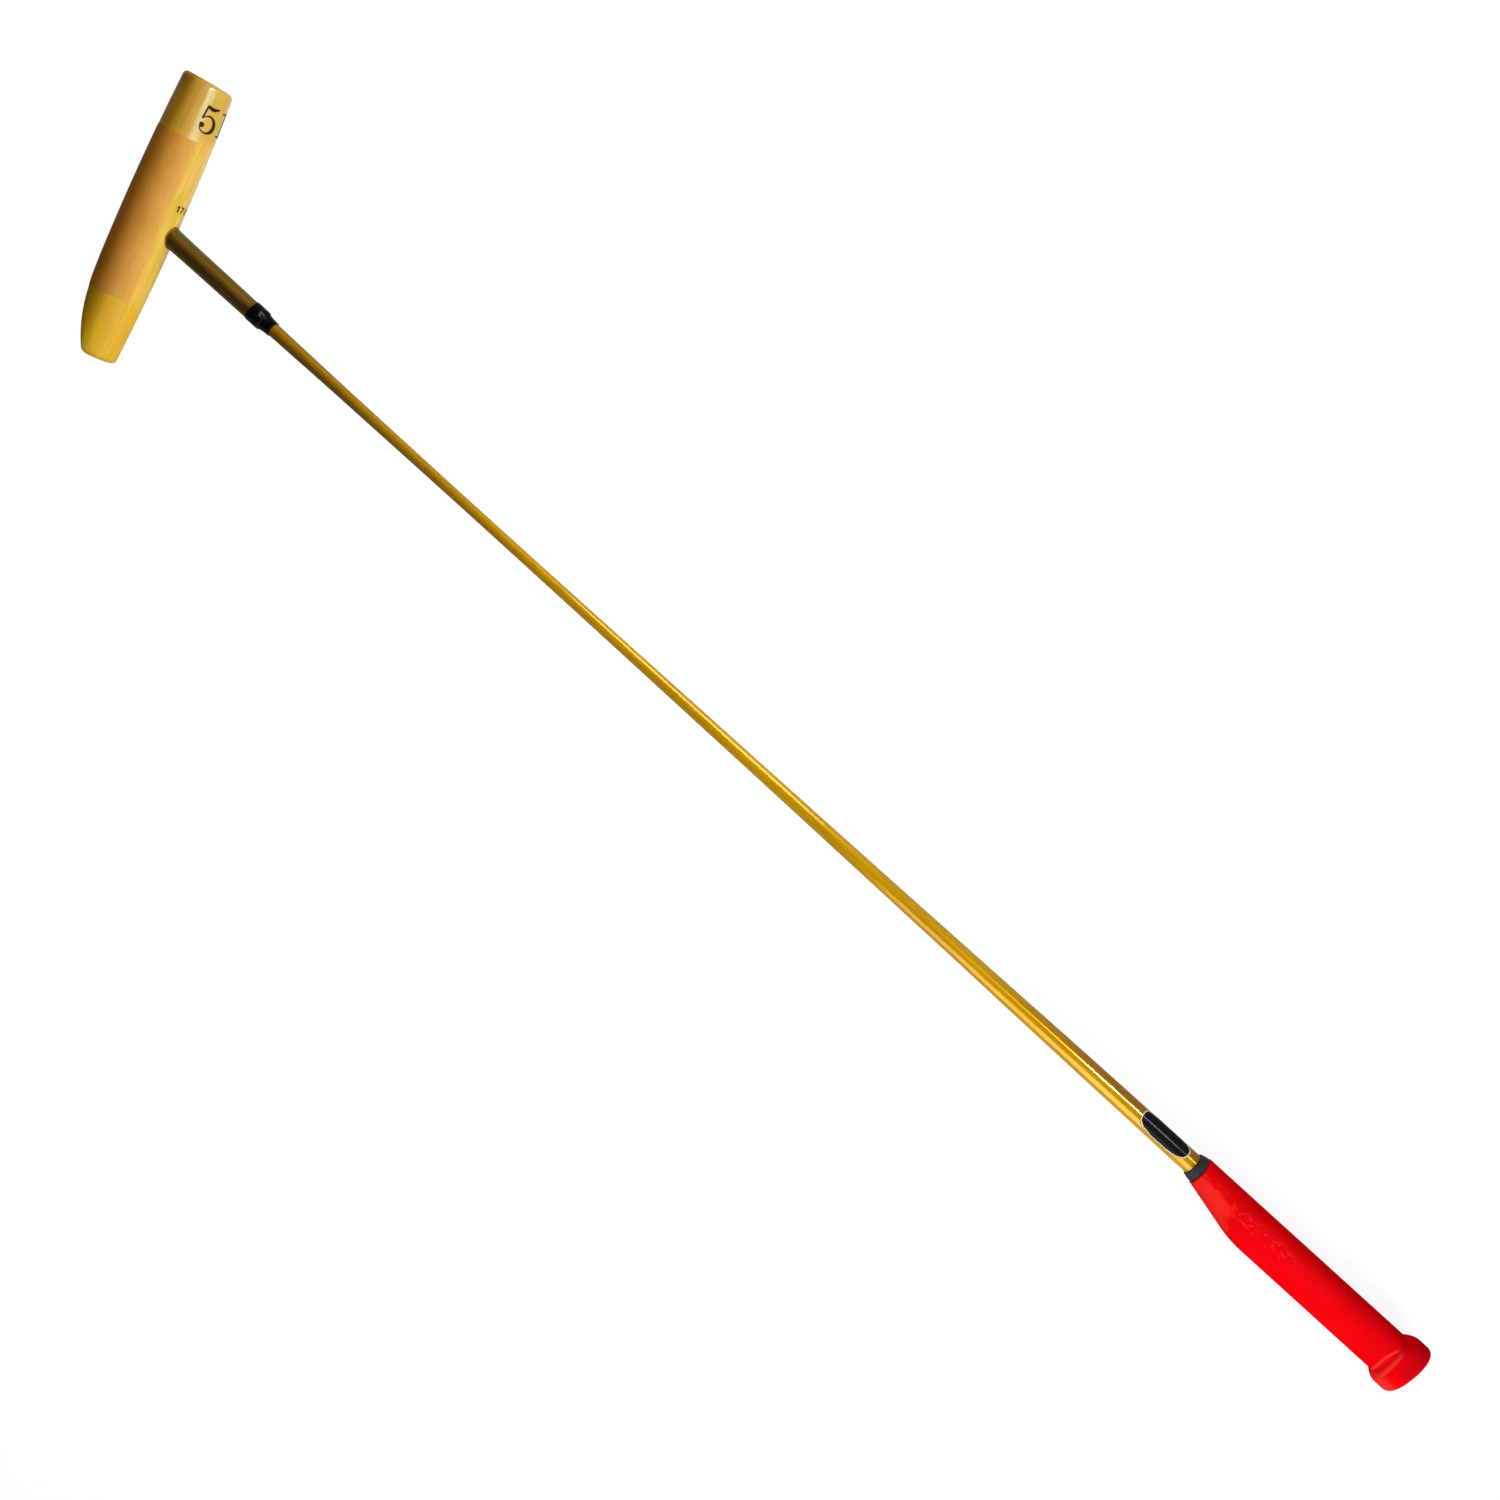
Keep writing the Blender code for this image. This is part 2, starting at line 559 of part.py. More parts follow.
def main():
    clear_scene()
    parts = new_collection("polo_mallet")
    cutters = new_collection("polo_mallet_cutters")

    root = bpy.data.objects.new("polo_mallet_frame", None)
    root.rotation_euler = (0.0, LIE_ANGLE, 0.0)
    parts.objects.link(root)
    head_frame = bpy.data.objects.new("head_frame", None)
    head_frame.parent = root
    head_frame.rotation_euler = (0.0, 0.0, -HEAD_ANGLE)
    parts.objects.link(head_frame)

    wood = finish("varnished_timber", (0.72, 0.50, 0.09), 0.25)
    cloth = finish("varnished_cloth", (0.62, 0.36, 0.11), 0.3)
    lacquer = finish("gold_lacquer", (0.62, 0.40, 0.02), 0.2)
    dowel_wood = finish("dowel_timber", (0.66, 0.45, 0.22), 0.6)
    wedge_wood = finish("wedge_hardwood", (0.35, 0.17, 0.07), 0.6)
    smoke = finish("smoky_clear", (0.10, 0.09, 0.05), 0.1, alpha=0.6)
    tape_black = finish("glossy_tape", (0.01, 0.01, 0.01), 0.15)
    ring_black = finish("ring_rubber", (0.04, 0.035, 0.035), 0.6)
    red = finish("red_rubber", (0.9, 0.0, 0.004), 0.55)
    core_left = finish("left_core_timber", (0.60, 0.42, 0.22), 0.7)
    core_right = finish("right_core_timber", (0.58, 0.40, 0.20), 0.7)
    plug_grey = finish("plug_plastic", (0.15, 0.15, 0.15), 0.5)

    head = make_head(parts, head_frame)
    wrap = make_wrap(parts, head_frame)
    shaft = make_shaft(parts, root)
    dowel = make_dowel(parts, root)
    wedge = loft("head_wedge", wedge_rings(0.0, WEDGE_WIDTH), parts, root)
    sleeve = make_sleeve(parts, root)
    tape = make_tape(parts, root)
    ring = make_ring(parts, root)
    grip = make_grip(parts, root)
    plug = make_plug(parts, root)

    head_bore = make_shaft_bore("head_bore", SHAFT_PLACES[0], 2 * HEAD_RADIUS, CLEARANCE, cutters, root)
    wrap_hole = make_shaft_bore("wrap_hole", 2 * SHAFT_PLACES[0], 0.0, 2 * CLEARANCE, cutters, root)
    grip_bore = make_shaft_bore("grip_bore", GRIP_START - RING_LENGTH,
                                SHAFT_END + PLUG_FLANGE + 2 * CLEARANCE, CLEARANCE, cutters, root)
    slit = loft("wedge_slit", wedge_rings(CLEARANCE, 4 * HEAD_RADIUS), cutters, root)
    cradle = make_underside_cradle(cutters, head_frame)

    cut(head, make_wrap_recess(cutters, head_frame))
    cut(head, head_bore)
    cut(wrap, wrap_hole)
    for item in (shaft, dowel):
        cut(item, slit)
    for item in (shaft, dowel, wedge):
        cut(item, cradle)
    cut(sleeve, make_barrel_seat(cutters, head_frame))
    cut(grip, make_core_space(cutters, root))
    cut(grip, grip_bore)
    left = make_pallet("handle_pallet_left", 1, grip_bore, parts, cutters, root)
    right = make_pallet("handle_pallet_right", -1, grip_bore, parts, cutters, root)

    finishes = ((head, wood), (wrap, cloth), (shaft, lacquer), (dowel, dowel_wood), (wedge, wedge_wood),
                (sleeve, smoke), (tape, tape_black), (ring, ring_black), (grip, red),
                (left, core_left), (right, core_right), (plug, plug_grey))
    for item, material in finishes:
        item.data.materials.append(material)
    for cutter in cutters.objects:
        cutter.hide_render = True
        cutter.display_type = "WIRE"
    place_on_ground(root, [item for item, material in finishes])


main()
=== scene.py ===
# Polo mallet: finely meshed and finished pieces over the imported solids, with camera, floor and light.
import math

import bmesh
import bpy
import numpy as np
from mathutils import Matrix, Vector


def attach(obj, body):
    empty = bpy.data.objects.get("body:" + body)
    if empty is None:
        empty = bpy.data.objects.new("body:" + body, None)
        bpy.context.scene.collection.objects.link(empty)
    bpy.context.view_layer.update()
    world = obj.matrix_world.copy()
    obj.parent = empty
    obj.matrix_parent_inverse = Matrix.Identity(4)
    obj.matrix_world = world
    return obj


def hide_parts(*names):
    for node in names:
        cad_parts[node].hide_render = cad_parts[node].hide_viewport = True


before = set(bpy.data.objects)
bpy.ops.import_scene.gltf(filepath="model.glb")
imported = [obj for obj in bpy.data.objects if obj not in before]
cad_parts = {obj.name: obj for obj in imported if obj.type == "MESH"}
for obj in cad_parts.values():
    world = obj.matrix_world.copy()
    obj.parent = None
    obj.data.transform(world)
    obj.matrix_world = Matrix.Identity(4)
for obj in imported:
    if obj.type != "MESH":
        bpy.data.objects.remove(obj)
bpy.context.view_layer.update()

MM = 0.001

# Place of the mallet in the frame
MALLET_ORIGIN = (-0.6139282584, -0.0009634569, 0.0221998673)
HEAD_ANGLE = math.radians(75.0)

# Head
TOE_LENGTH = 108.7 * MM
HEEL_LENGTH = 111.3 * MM
HEAD_RADIUS = 22.0 * MM
HEAD_END_DROP = 2.8 * MM
HEAD_EDGE_ROUND = 3.5 * MM
TOE_SLANT = math.radians(3.0)
BEVEL_START = 34.7 * MM
BEVEL_SLOPE = 0.04
BEVEL_SWEEP_RADIUS = 145.0 * MM
BEVEL_SHARPNESS = 16

# Cloth band
WRAP_START = -65.5 * MM
WRAP_END = 63.5 * MM
WRAP_PROUD = 0.2 * MM
WRAP_SKIN_GAP = 0.02 * MM
WRAP_EDGE_ANGLE = math.radians(40.0)
WRAP_END_WAVER = 0.25 * MM
WRAP_EDGE_WAVER = 0.012

# Shaft, its places and diameters in millimetres
SHAFT_PLACES = [-30.0, 20.0, 115.0, 200.0, 330.0, 600.0, 800.0, 970.0, 1090.0, 1400.0]
SHAFT_DIAMETERS = [13.6, 12.9, 10.9, 9.1, 8.2, 10.1, 12.8, 15.8, 16.7, 16.9]
SHAFT_START = -30.0 * MM
SHAFT_WALL = 1.6 * MM
CLEARANCE = 0.3 * MM
WEDGE_LENGTH = 19.0 * MM
WEDGE_THICK_END = 3.2 * MM
WEDGE_THIN_END = 0.8 * MM

# Sleeve and tape
SLEEVE_END = 113.0 * MM
SLEEVE_WAIST = 45.0 * MM
SLEEVE_WAIST_RADIUS = 7.75 * MM
SLEEVE_FLARE = 27.0 * MM
SLEEVE_FLARE_RADIUS = 8.0 * MM
SLEEVE_END_RADIUS = 7.3 * MM
SLEEVE_SEAT_GAP = 0.05 * MM
SLEEVE_LIP = 0.55 * MM
SLEEVE_LIP_REACH = 1.3 * MM
SLEEVE_LEVELS = (0.0, 0.01, 0.02, 0.035, 0.05, 0.075, 0.1, 0.15, 0.2, 0.3, 0.4, 0.5, 0.6, 0.7,
                 0.8, 0.9, 0.97, 1.0)
TAPE_START = 104.0 * MM
TAPE_SHOULDER = 115.3 * MM
TAPE_FOOT = 120.5 * MM
TAPE_END = 125.3 * MM
TAPE_THICKNESS = 0.3 * MM
TAPE_TURN = 4.2 * MM
TAPE_STEP = 0.07 * MM
TAPE_WRINKLE = 0.12 * MM

# Ring and grip
RING_LENGTH = 7.5 * MM
RING_RADIUS = 10.8 * MM
RING_FRONT_RADIUS = 9.7 * MM
RING_FRONT_ROUND = 1.2 * MM
RING_BACK_ROUND = 0.6 * MM
BUTT_END = 1295.4 * MM - HEAD_RADIUS / math.sin(HEAD_ANGLE)
GRIP_START = BUTT_END - 214.3 * MM
RING_START = GRIP_START - CLEARANCE - RING_LENGTH
SHAFT_END = BUTT_END - 8.0 * MM
GRIP_NOSE_RADIUS = 11.5 * MM
GRIP_TOP = 11.3 * MM
GRIP_BOTTOM = 23.8 * MM
GRIP_CENTRE = (GRIP_TOP - GRIP_BOTTOM) / 2
GRIP_HALF_THICKNESS = 15.6 * MM
GRIP_FLARE_LENGTH = 50.0 * MM
GRIP_FLARE_BLEND = 12.0 * MM
GRIP_NOSE_ROUNDNESS = 2.0
GRIP_ROUNDNESS = 2.35
GRIP_LIP = 0.5 * MM
POMMEL_START = BUTT_END - 21.4 * MM
POMMEL_SHOULDER = 9.5 * MM
POMMEL_RISE = 5.2 * MM
POMMEL_HALF_THICKNESS = 17.2 * MM
POMMEL_EDGE_ROUND = 4.0 * MM
POMMEL_ROUNDNESS = 2.2
POMMEL_SLANT = math.radians(4.8)
POMMEL_SLANT_BLEND = 30.0 * MM

# Ridges of the pommel, pale from wear and painted highlight, at level + slope * across + curve * across **
# 2 millimetres past its start
RIDGES = ((-2.7, 0.378, 0.021), (1.9, -0.09, 0.0021))
RIDGE_WIDTH = 0.9
RIDGE_HEIGHT = 0.3 * MM
RIDGE_HOLLOW = 0.25 * MM

# Slope of the pommel's slant in its finish
POMMEL_LEAN = 0.08

# Print: places, angles in degrees, and the label's size in millimetres on its own flat sheet
PRINT_PROUD = 0.04 * MM
LENGTH_MARK_PLACE = -98.0 * MM
LENGTH_MARK_ANGLE = 62.0
WEIGHT_MARK_PLACE = -22.0 * MM
WEIGHT_MARK_ANGLE = 30.0
LABEL_CENTRE = 1019.5 * MM
LABEL_LENGTH = 46.0
LABEL_HEIGHT = 20.0
LABEL_FACING = math.radians(32.0)

# Half the width over which the head's colours turn from its shaded to its lit side
TONE_REACH = 16.0 * MM

# Camera of the photograph, in the mallet's coordinates
CAMERA_PLACE = (0.61605, 0.2161, 1.4199)
CAMERA_ROLL = math.radians(42.47996)
CAMERA_TILT = math.radians(5.78598)
CAMERA_PAN = math.radians(6.10503)
CAMERA_SENSOR = 36.0
FOCAL_PIXELS = 1926.466
PHOTO_PIXELS = 1500

LIE_ANGLE = math.asin((HEAD_RADIUS + WRAP_PROUD - POMMEL_HALF_THICKNESS)
                      / (BUTT_END - POMMEL_EDGE_ROUND))
MALLET = Matrix.Translation(MALLET_ORIGIN) @ Matrix.Rotation(LIE_ANGLE, 4, "Y")
HEAD = MALLET @ Matrix.Rotation(-HEAD_ANGLE, 4, "Z")


# Forms
def smooth_value(place, places, values):
    """A value read from a monotone curve through the given points."""
    gaps = [b - a for a, b in zip(places, places[1:])]
    slopes = [(b - a) / gap for a, b, gap in zip(values, values[1:], gaps)]
    tangents = [slopes[0]]
    for before, after in zip(slopes, slopes[1:]):
        same_way = before * after > 0
        tangents.append(2 * before * after / (before + after) if same_way else 0.0)
    tangents.append(slopes[-1])
    place = min(max(place, places[0]), places[-1])
    i = min(sum(place >= p for p in places[1:]), len(gaps) - 1)
    t = (place - places[i]) / gaps[i]
    return ((1 + 2 * t) * (1 - t) ** 2 * values[i]
            + t * (1 - t) ** 2 * gaps[i] * tangents[i]
            + t * t * (3 - 2 * t) * values[i + 1]
            + t * t * (t - 1) * gaps[i] * tangents[i + 1])


def ease(share):
    """A smooth step from nought to one."""
    share = min(max(share, 0.0), 1.0)
    return share * share * (3 - 2 * share)


def shaft_radius(place):
    """The shaft's outer radius at a place along it."""
    return smooth_value(place / MM, SHAFT_PLACES, SHAFT_DIAMETERS) / 2 * MM


def barrel_radius(place):
    """The head's radius at a place along its axis."""
    return HEAD_RADIUS - HEAD_END_DROP * (place / HEEL_LENGTH) ** 2


def head_points(place, offset, angles):
    """Points round the head at a place: a circle whose underside is cut level by the bevel."""
    beyond = place - BEVEL_START
    level = HEAD_RADIUS - BEVEL_SLOPE * beyond + offset
    if beyond > 0:
        level -= beyond ** 2 / (2 * BEVEL_SWEEP_RADIUS)
    radius = barrel_radius(place) + offset
    middle = max(0.0, (radius - level) / 2)
    share = max(0.0, (WRAP_START - place) / (WRAP_START + TOE_LENGTH))
    lean = share * math.tan(TOE_SLANT)
    points = []
    for angle in angles:
        cosine = math.cos(angle)
        reach = -middle * cosine + math.sqrt(radius ** 2 - (middle * math.sin(angle)) ** 2)
        if cosine < -0.01:
            to_bevel = (middle + level) / -cosine
            total = reach ** -BEVEL_SHARPNESS + to_bevel ** -BEVEL_SHARPNESS
            reach = total ** (-1 / BEVEL_SHARPNESS)
        across = middle + reach * cosine
        points.append((place + lean * across, across, reach * math.sin(angle)))
    return points


def barrel_seat(across, up, offset):
    """How far along the shaft the barrel, moved out by an offset, lies at a point round it."""
    low = 0.0
    high = 2 * HEAD_RADIUS
    for step in range(40):
        place = (low + high) / 2
        along = place * math.cos(HEAD_ANGLE) - across * math.sin(HEAD_ANGLE)
        out = place * math.sin(HEAD_ANGLE) + across * math.cos(HEAD_ANGLE)
        if math.hypot(out, up) < barrel_radius(along) + offset:
            low = place
        else:
            high = place
    return low


def flared(place, nose, body):
    """A size of the grip that grows in a straight line from its nose and eases into the body."""
    corner = GRIP_START + GRIP_FLARE_LENGTH
    slope = (body - nose) / GRIP_FLARE_LENGTH
    if place < corner - GRIP_FLARE_BLEND:
        return nose + slope * (place - GRIP_START)
    if place > corner + GRIP_FLARE_BLEND:
        return body
    return body - slope * (corner + GRIP_FLARE_BLEND - place) ** 2 / (4 * GRIP_FLARE_BLEND)


def grip_points(place, inset, angles):
    """Points round the grip at a place: an oval that sits off-centre and leans over at the pommel."""
    t = min(max((place - POMMEL_START) / POMMEL_SHOULDER, 0.0), 1.0)
    share = t * (2 - t)
    before = (POMMEL_START - place) / POMMEL_SLANT_BLEND
    lean = math.tan(POMMEL_SLANT) * (1.0 - min(max(before, 0.0), 1.0))
    top = flared(place, GRIP_NOSE_RADIUS, GRIP_TOP) + share * POMMEL_RISE - inset
    bottom = flared(place, GRIP_NOSE_RADIUS, GRIP_BOTTOM) + share * POMMEL_RISE - inset
    body = flared(place, GRIP_NOSE_RADIUS, GRIP_HALF_THICKNESS)
    half = body + share * (POMMEL_HALF_THICKNESS - GRIP_HALF_THICKNESS) - inset
    oval = flared(place, GRIP_NOSE_ROUNDNESS, GRIP_ROUNDNESS)
    power = 2 / (oval + share * (POMMEL_ROUNDNESS - GRIP_ROUNDNESS))
    centre = (top - bottom) / 2
    points = []
    for angle in angles:
        across = math.copysign(abs(math.cos(angle)) ** power, math.cos(angle))
        up = math.copysign(abs(math.sin(angle)) ** power, math.sin(angle))
        reach = (top + bottom) / 2 * across
        points.append((place + lean * reach, centre + reach, half * up))
    return points


# Mesh helpers
def spread(first, last, count):
    """Evenly spaced values, both ends among them."""
    return [first + (last - first) * i / count for i in range(count + 1)]


def around(sides):
    """Evenly spaced angles round a full turn."""
    return [2 * math.pi * i / sides for i in range(sides)]


def finish_mesh(name, points, faces, matrix, crease):
    """Makes an object, its normals outward and its edges sharp above an angle in degrees."""
    mesh = bpy.data.meshes.new(name)
    mesh.from_pydata([tuple(point) for point in points], [], [tuple(face) for face in faces])
    work = bmesh.new()
    work.from_mesh(mesh)
    bmesh.ops.recalc_face_normals(work, faces=work.faces)
    work.to_mesh(mesh)
    work.free()
    item = bpy.data.objects.new(name, mesh)
    item.matrix_world = matrix
    bpy.context.scene.collection.objects.link(item)
    shade(item, crease)
    return item


def shade(item, crease):
    """Smooth shading, with edges sharp above an angle in degrees."""
    for face in item.data.polygons:
        face.use_smooth = True
    item.data.set_sharp_from_angle(angle=math.radians(crease))


def loft(name, rings, matrix, tube=False, crease=35.0):
    """A skin over rings of points. A tube joins the last to the first, and else the ends are closed."""
    count = len(rings)
    sides = len(rings[0])
    points = [point for ring in rings for point in ring]
    rows = [list(range(i * sides, (i + 1) * sides)) for i in range(count)]
    if not tube:
        for end in (0, count - 1):
            ring = np.array(rings[end])
            inner = ring.mean(axis=0) + 0.94 * (ring - ring.mean(axis=0))
            rows.insert(0 if end == 0 else len(rows), list(range(len(points), len(points) + sides)))
            points += [tuple(point) for point in inner]
    pairs = list(zip(rows, rows[1:]))
    faces = []
    if tube:
        pairs.append((rows[-1], rows[0]))
    else:
        faces = [rows[0], rows[-1]]
    for one, two in pairs:
        for j in range(sides):
            k = (j + 1) % sides
            faces.append((one[j], one[k], two[k], two[j]))
    return finish_mesh(name, points, faces, matrix, crease)


def turned(name, profile, matrix, sides, tube=True, crease=35.0):
    """A turned form about the shaft's axis, from (place, radius) pairs."""
    rings = []
    for place, radius in profile:
        rings.append([(place, radius * math.cos(a), radius * math.sin(a)) for a in around(sides)])
    return loft(name, rings, matrix, tube, crease)


def block(name, low, high, matrix):
    """A plain box used as a cutter."""
    points = [(x, y, z) for x in (low[0], high[0]) for y in (low[1], high[1]) for z in (low[2], high[2])]
    faces = [(0, 1, 3, 2), (4, 6, 7, 5), (0, 4, 5, 1), (2, 3, 7, 6), (0, 2, 6, 4), (1, 5, 7, 3)]
    return finish_mesh(name, points, faces, matrix, 30.0)


def cut(item, cutter, crease=35.0):
    """Takes the cutter's form out of the item and leaves a plain mesh."""
    change = item.modifiers.new("cut", "BOOLEAN")
    change.operation = "DIFFERENCE"
    change.solver = "EXACT"
    change.object = cutter
    bpy.context.view_layer.update()
    shape = item.evaluated_get(bpy.context.evaluated_depsgraph_get())
    mesh = bpy.data.meshes.new_from_object(shape)
    item.modifiers.clear()
    item.data = mesh
    shade(item, crease)


def discard(*items):
    """Removes cutters that have done their work."""
    for item in items:
        bpy.data.objects.remove(item)


def dress(item, material, slot, *nodes):
    """Gives a piece its finish, lets it ride on the mallet and hides the solids that it stands for."""
    item.data.transform(item.matrix_world)
    item.matrix_world = Matrix.Identity(4)
    item.data.materials.clear()
    item.data.materials.append(material)
    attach(item, "root")
    if nodes:
        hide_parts(*nodes)


# Pieces
def head_stations():
    """Places along the head, each with the offset that rounds its two end edges."""
    edge = []
    for turn in spread(0.0, math.pi / 2, 10):
        edge.append((HEAD_EDGE_ROUND * (1 - math.cos(turn)), HEAD_EDGE_ROUND * (math.sin(turn) - 1)))
    toe = [(-TOE_LENGTH + depth, offset) for depth, offset in edge]
    heel = [(HEEL_LENGTH - depth, offset) for depth, offset in reversed(edge)]
    barrel = [(place, 0.0) for place in spread(toe[-1][0], BEVEL_START, 60)[1:]]
    bevel = [(place, 0.0) for place in spread(BEVEL_START, heel[0][0], 40)[1:-1]]
    return toe + barrel + bevel + heel


def make_head():
    """The barrel, with its bevelled heel and rounded end edges."""
    angles = around(160)
    rings = [head_points(place, offset, angles) for place, offset in head_stations()]
    return loft("head_barrel", rings, HEAD)


def make_wrap():
    """The cloth band, a thin skin whose cut edges waver a little."""
    along = spread(0.0, 1.0, 60)
    turns = spread(0.0, 1.0, 110)
    skins = []
    for offset in (WRAP_PROUD, WRAP_SKIN_GAP):
        rows = []
        for s in along:
            row = []
            for t in turns:
                waver = WRAP_END_WAVER * math.sin(37 * t) * (2 * s - 1) ** 8
                place = WRAP_START + (WRAP_END - WRAP_START) * s + waver
                edge = WRAP_EDGE_ANGLE + WRAP_EDGE_WAVER * math.sin(23 * s + 1.0)
                row += head_points(place, offset, [edge + (2 * math.pi - 2 * edge) * t])
            rows.append(row)
        skins.append(rows)
    rings = [outer + inner[::-1] for outer, inner in zip(*skins)]
    sides = len(rings[0])
    half = sides // 2
    points = [point for ring in rings for point in ring]
    faces = []
    for i in range(len(rings) - 1):
        for j in range(sides):
            k = (j + 1) % sides
            faces.append((i * sides + j, i * sides + k, (i + 1) * sides + k, (i + 1) * sides + j))
    for i in (0, len(rings) - 1):
        for j in range(half - 1):
            first = i * sides
            faces.append((first + j, first + j + 1, first + sides - 2 - j, first + sides - 1 - j))
    return finish_mesh("head_cloth", points, faces, HEAD, 35.0)


def make_shaft():
    """The tapered tube."""
    outer = [(place, shaft_radius(place)) for place in spread(SHAFT_START, SHAFT_END, 240)]
    inner = [(place, radius - SHAFT_WALL) for place, radius in outer[::-8]]
    return turned("shaft_tube", outer + inner, MALLET, 96)


def shaft_cutter(name, first, last, clearance):
    """The shaft's form, grown by a clearance."""
    profile = [(place, shaft_radius(place) + clearance) for place in spread(first, last, 24)]
    return turned(name, profile, MALLET, 96, tube=False)


def make_slit():
    """The wedge's form, grown by the clearance and carried out past the head's underside."""
    underside = HEAD_RADIUS / math.sin(HEAD_ANGLE)
    growth = (WEDGE_THICK_END - WEDGE_THIN_END) / WEDGE_LENGTH
    excess = 8 * MM
    wide = 2 * HEAD_RADIUS
    rings = []
    for depth in (-excess, WEDGE_LENGTH + CLEARANCE):
        half = (WEDGE_THICK_END - growth * depth) / 2 + CLEARANCE
        corners = ((-half, -wide), (half, -wide), (half, wide), (-half, wide))
        rings.append([(depth - underside, across, up) for across, up in corners])
    return loft("slit", rings, MALLET)


def make_cradle():
    """A block under the head, hollowed to the barrel, that trims the shaft's tip flush."""
    reach = 2 * HEAD_RADIUS
    cradle = block("cradle", (-reach, -reach, -reach), (reach, -HEAD_RADIUS / 3, reach), HEAD)
    past = reach + HEAD_RADIUS / 2
    rings = [head_points(place, 0.0, around(160)) for place in spread(-past, past, 50)]
    form = loft("barrel_form", rings, HEAD)
    cut(cradle, form)
    discard(form)
    return cradle


def make_sleeve():
    """The smoky tube, its foot flared out and seated on the barrel."""
    sides = 120
    rings = []
    feet = []
    for angle in around(sides):
        reach = SLEEVE_FLARE_RADIUS + 0.5 * MM
        feet.append(barrel_seat(reach * math.cos(angle), reach * math.sin(angle), SLEEVE_SEAT_GAP))
    for level in SLEEVE_LEVELS:
        ring = []
        for angle, foot in zip(around(sides), feet):
            place = foot + (SLEEVE_END - foot) * level
            if place < SLEEVE_WAIST:
                share = (place - SLEEVE_FLARE) / (SLEEVE_WAIST - SLEEVE_FLARE)
                radius = SLEEVE_FLARE_RADIUS + (SLEEVE_WAIST_RADIUS - SLEEVE_FLARE_RADIUS) * share
            else:
                share = (place - SLEEVE_WAIST) / (SLEEVE_END - SLEEVE_WAIST)
                radius = SLEEVE_WAIST_RADIUS + (SLEEVE_END_RADIUS - SLEEVE_WAIST_RADIUS) * share
            radius += SLEEVE_LIP * math.exp(-(place - foot) / SLEEVE_LIP_REACH)
            ring.append((place, radius * math.cos(angle), radius * math.sin(angle)))
        rings.append(ring)
    for level in reversed(SLEEVE_LEVELS[::3]):
        ring = []
        for angle, foot in zip(around(sides), feet):
            place = foot + (SLEEVE_END - foot) * level
            radius = shaft_radius(place) + CLEARANCE
            ring.append((place, radius * math.cos(angle), radius * math.sin(angle)))
        rings.append(ring)
    return loft("clear_sleeve", rings, MALLET, tube=True)


def make_tape():
    """The tape, wound in overlapping turns and pressed down past the sleeve's end."""
    sides = 120
    taper = (SLEEVE_WAIST_RADIUS - SLEEVE_END_RADIUS) / (SLEEVE_END - SLEEVE_WAIST)
    at_end = SLEEVE_END_RADIUS + CLEARANCE
    at_start = at_end + taper * (SLEEVE_END - TAPE_START)
    at_foot = shaft_radius(TAPE_FOOT) + CLEARANCE
    places = [TAPE_START, TAPE_SHOULDER - 0.5 * MM, TAPE_SHOULDER + 1.9 * MM, TAPE_FOOT, TAPE_END]
    radii = [at_start, at_end, at_end - 1.15 * MM, at_foot + 0.25 * MM, at_foot]
    rings = []
    for place in spread(TAPE_START, TAPE_END, 90):
        ring = []
        for angle in around(sides):
            radius = smooth_value(place, places, radii) + TAPE_THICKNESS
            turn = (place / TAPE_TURN + angle / (2 * math.pi)) % 1.0
            radius += TAPE_STEP * (turn - 1.0)
            wrinkle = math.sin(3 * angle + 900 * place) * math.sin(5 * angle - 1500 * place + 2.0)
            fold = math.exp(-((place - TAPE_SHOULDER - 1 * MM) / (3 * MM)) ** 2)
            radius += TAPE_WRINKLE * wrinkle * (0.25 + fold)
            ring.append((place, radius * math.cos(angle), radius * math.sin(angle)))
        rings.append(ring)
    inner = [(TAPE_END, at_foot - 0.1 * MM), (TAPE_FOOT, at_foot),
             (SLEEVE_END + CLEARANCE, at_end - 0.05 * MM), (TAPE_START, at_start)]
    for place, radius in inner:
        rings.append([(place, radius * math.cos(a), radius * math.sin(a)) for a in around(sides)])
    return loft("tape_binding", rings, MALLET, tube=True)


def make_ring():
    """The ring, round at its front, swelling to its back edge."""
    back = RING_START + RING_LENGTH
    quarter = math.pi / 2
    growth = RING_RADIUS - RING_FRONT_RADIUS
    swell_length = RING_LENGTH - RING_FRONT_ROUND - RING_BACK_ROUND
    profile = []
    for t in spread(0.0, quarter, 8):
        profile.append((RING_START + RING_FRONT_ROUND * (1 - math.cos(t)),
                        RING_FRONT_RADIUS - RING_FRONT_ROUND * (1 - math.sin(t))))
    for t in spread(0.0, 1.0, 10)[1:]:
        profile.append((RING_START + RING_FRONT_ROUND + swell_length * t,
                        RING_FRONT_RADIUS + growth * math.sin(quarter * t)))
    for t in spread(0.0, quarter, 5)[1:]:
        profile.append((back - RING_BACK_ROUND * (1 - math.sin(t)),
                        RING_RADIUS - RING_BACK_ROUND * (1 - math.cos(t))))
    for place in (back, RING_START):
        profile.append((place, shaft_radius(place) + CLEARANCE))
    return turned("stop_ring", profile, MALLET, 120)


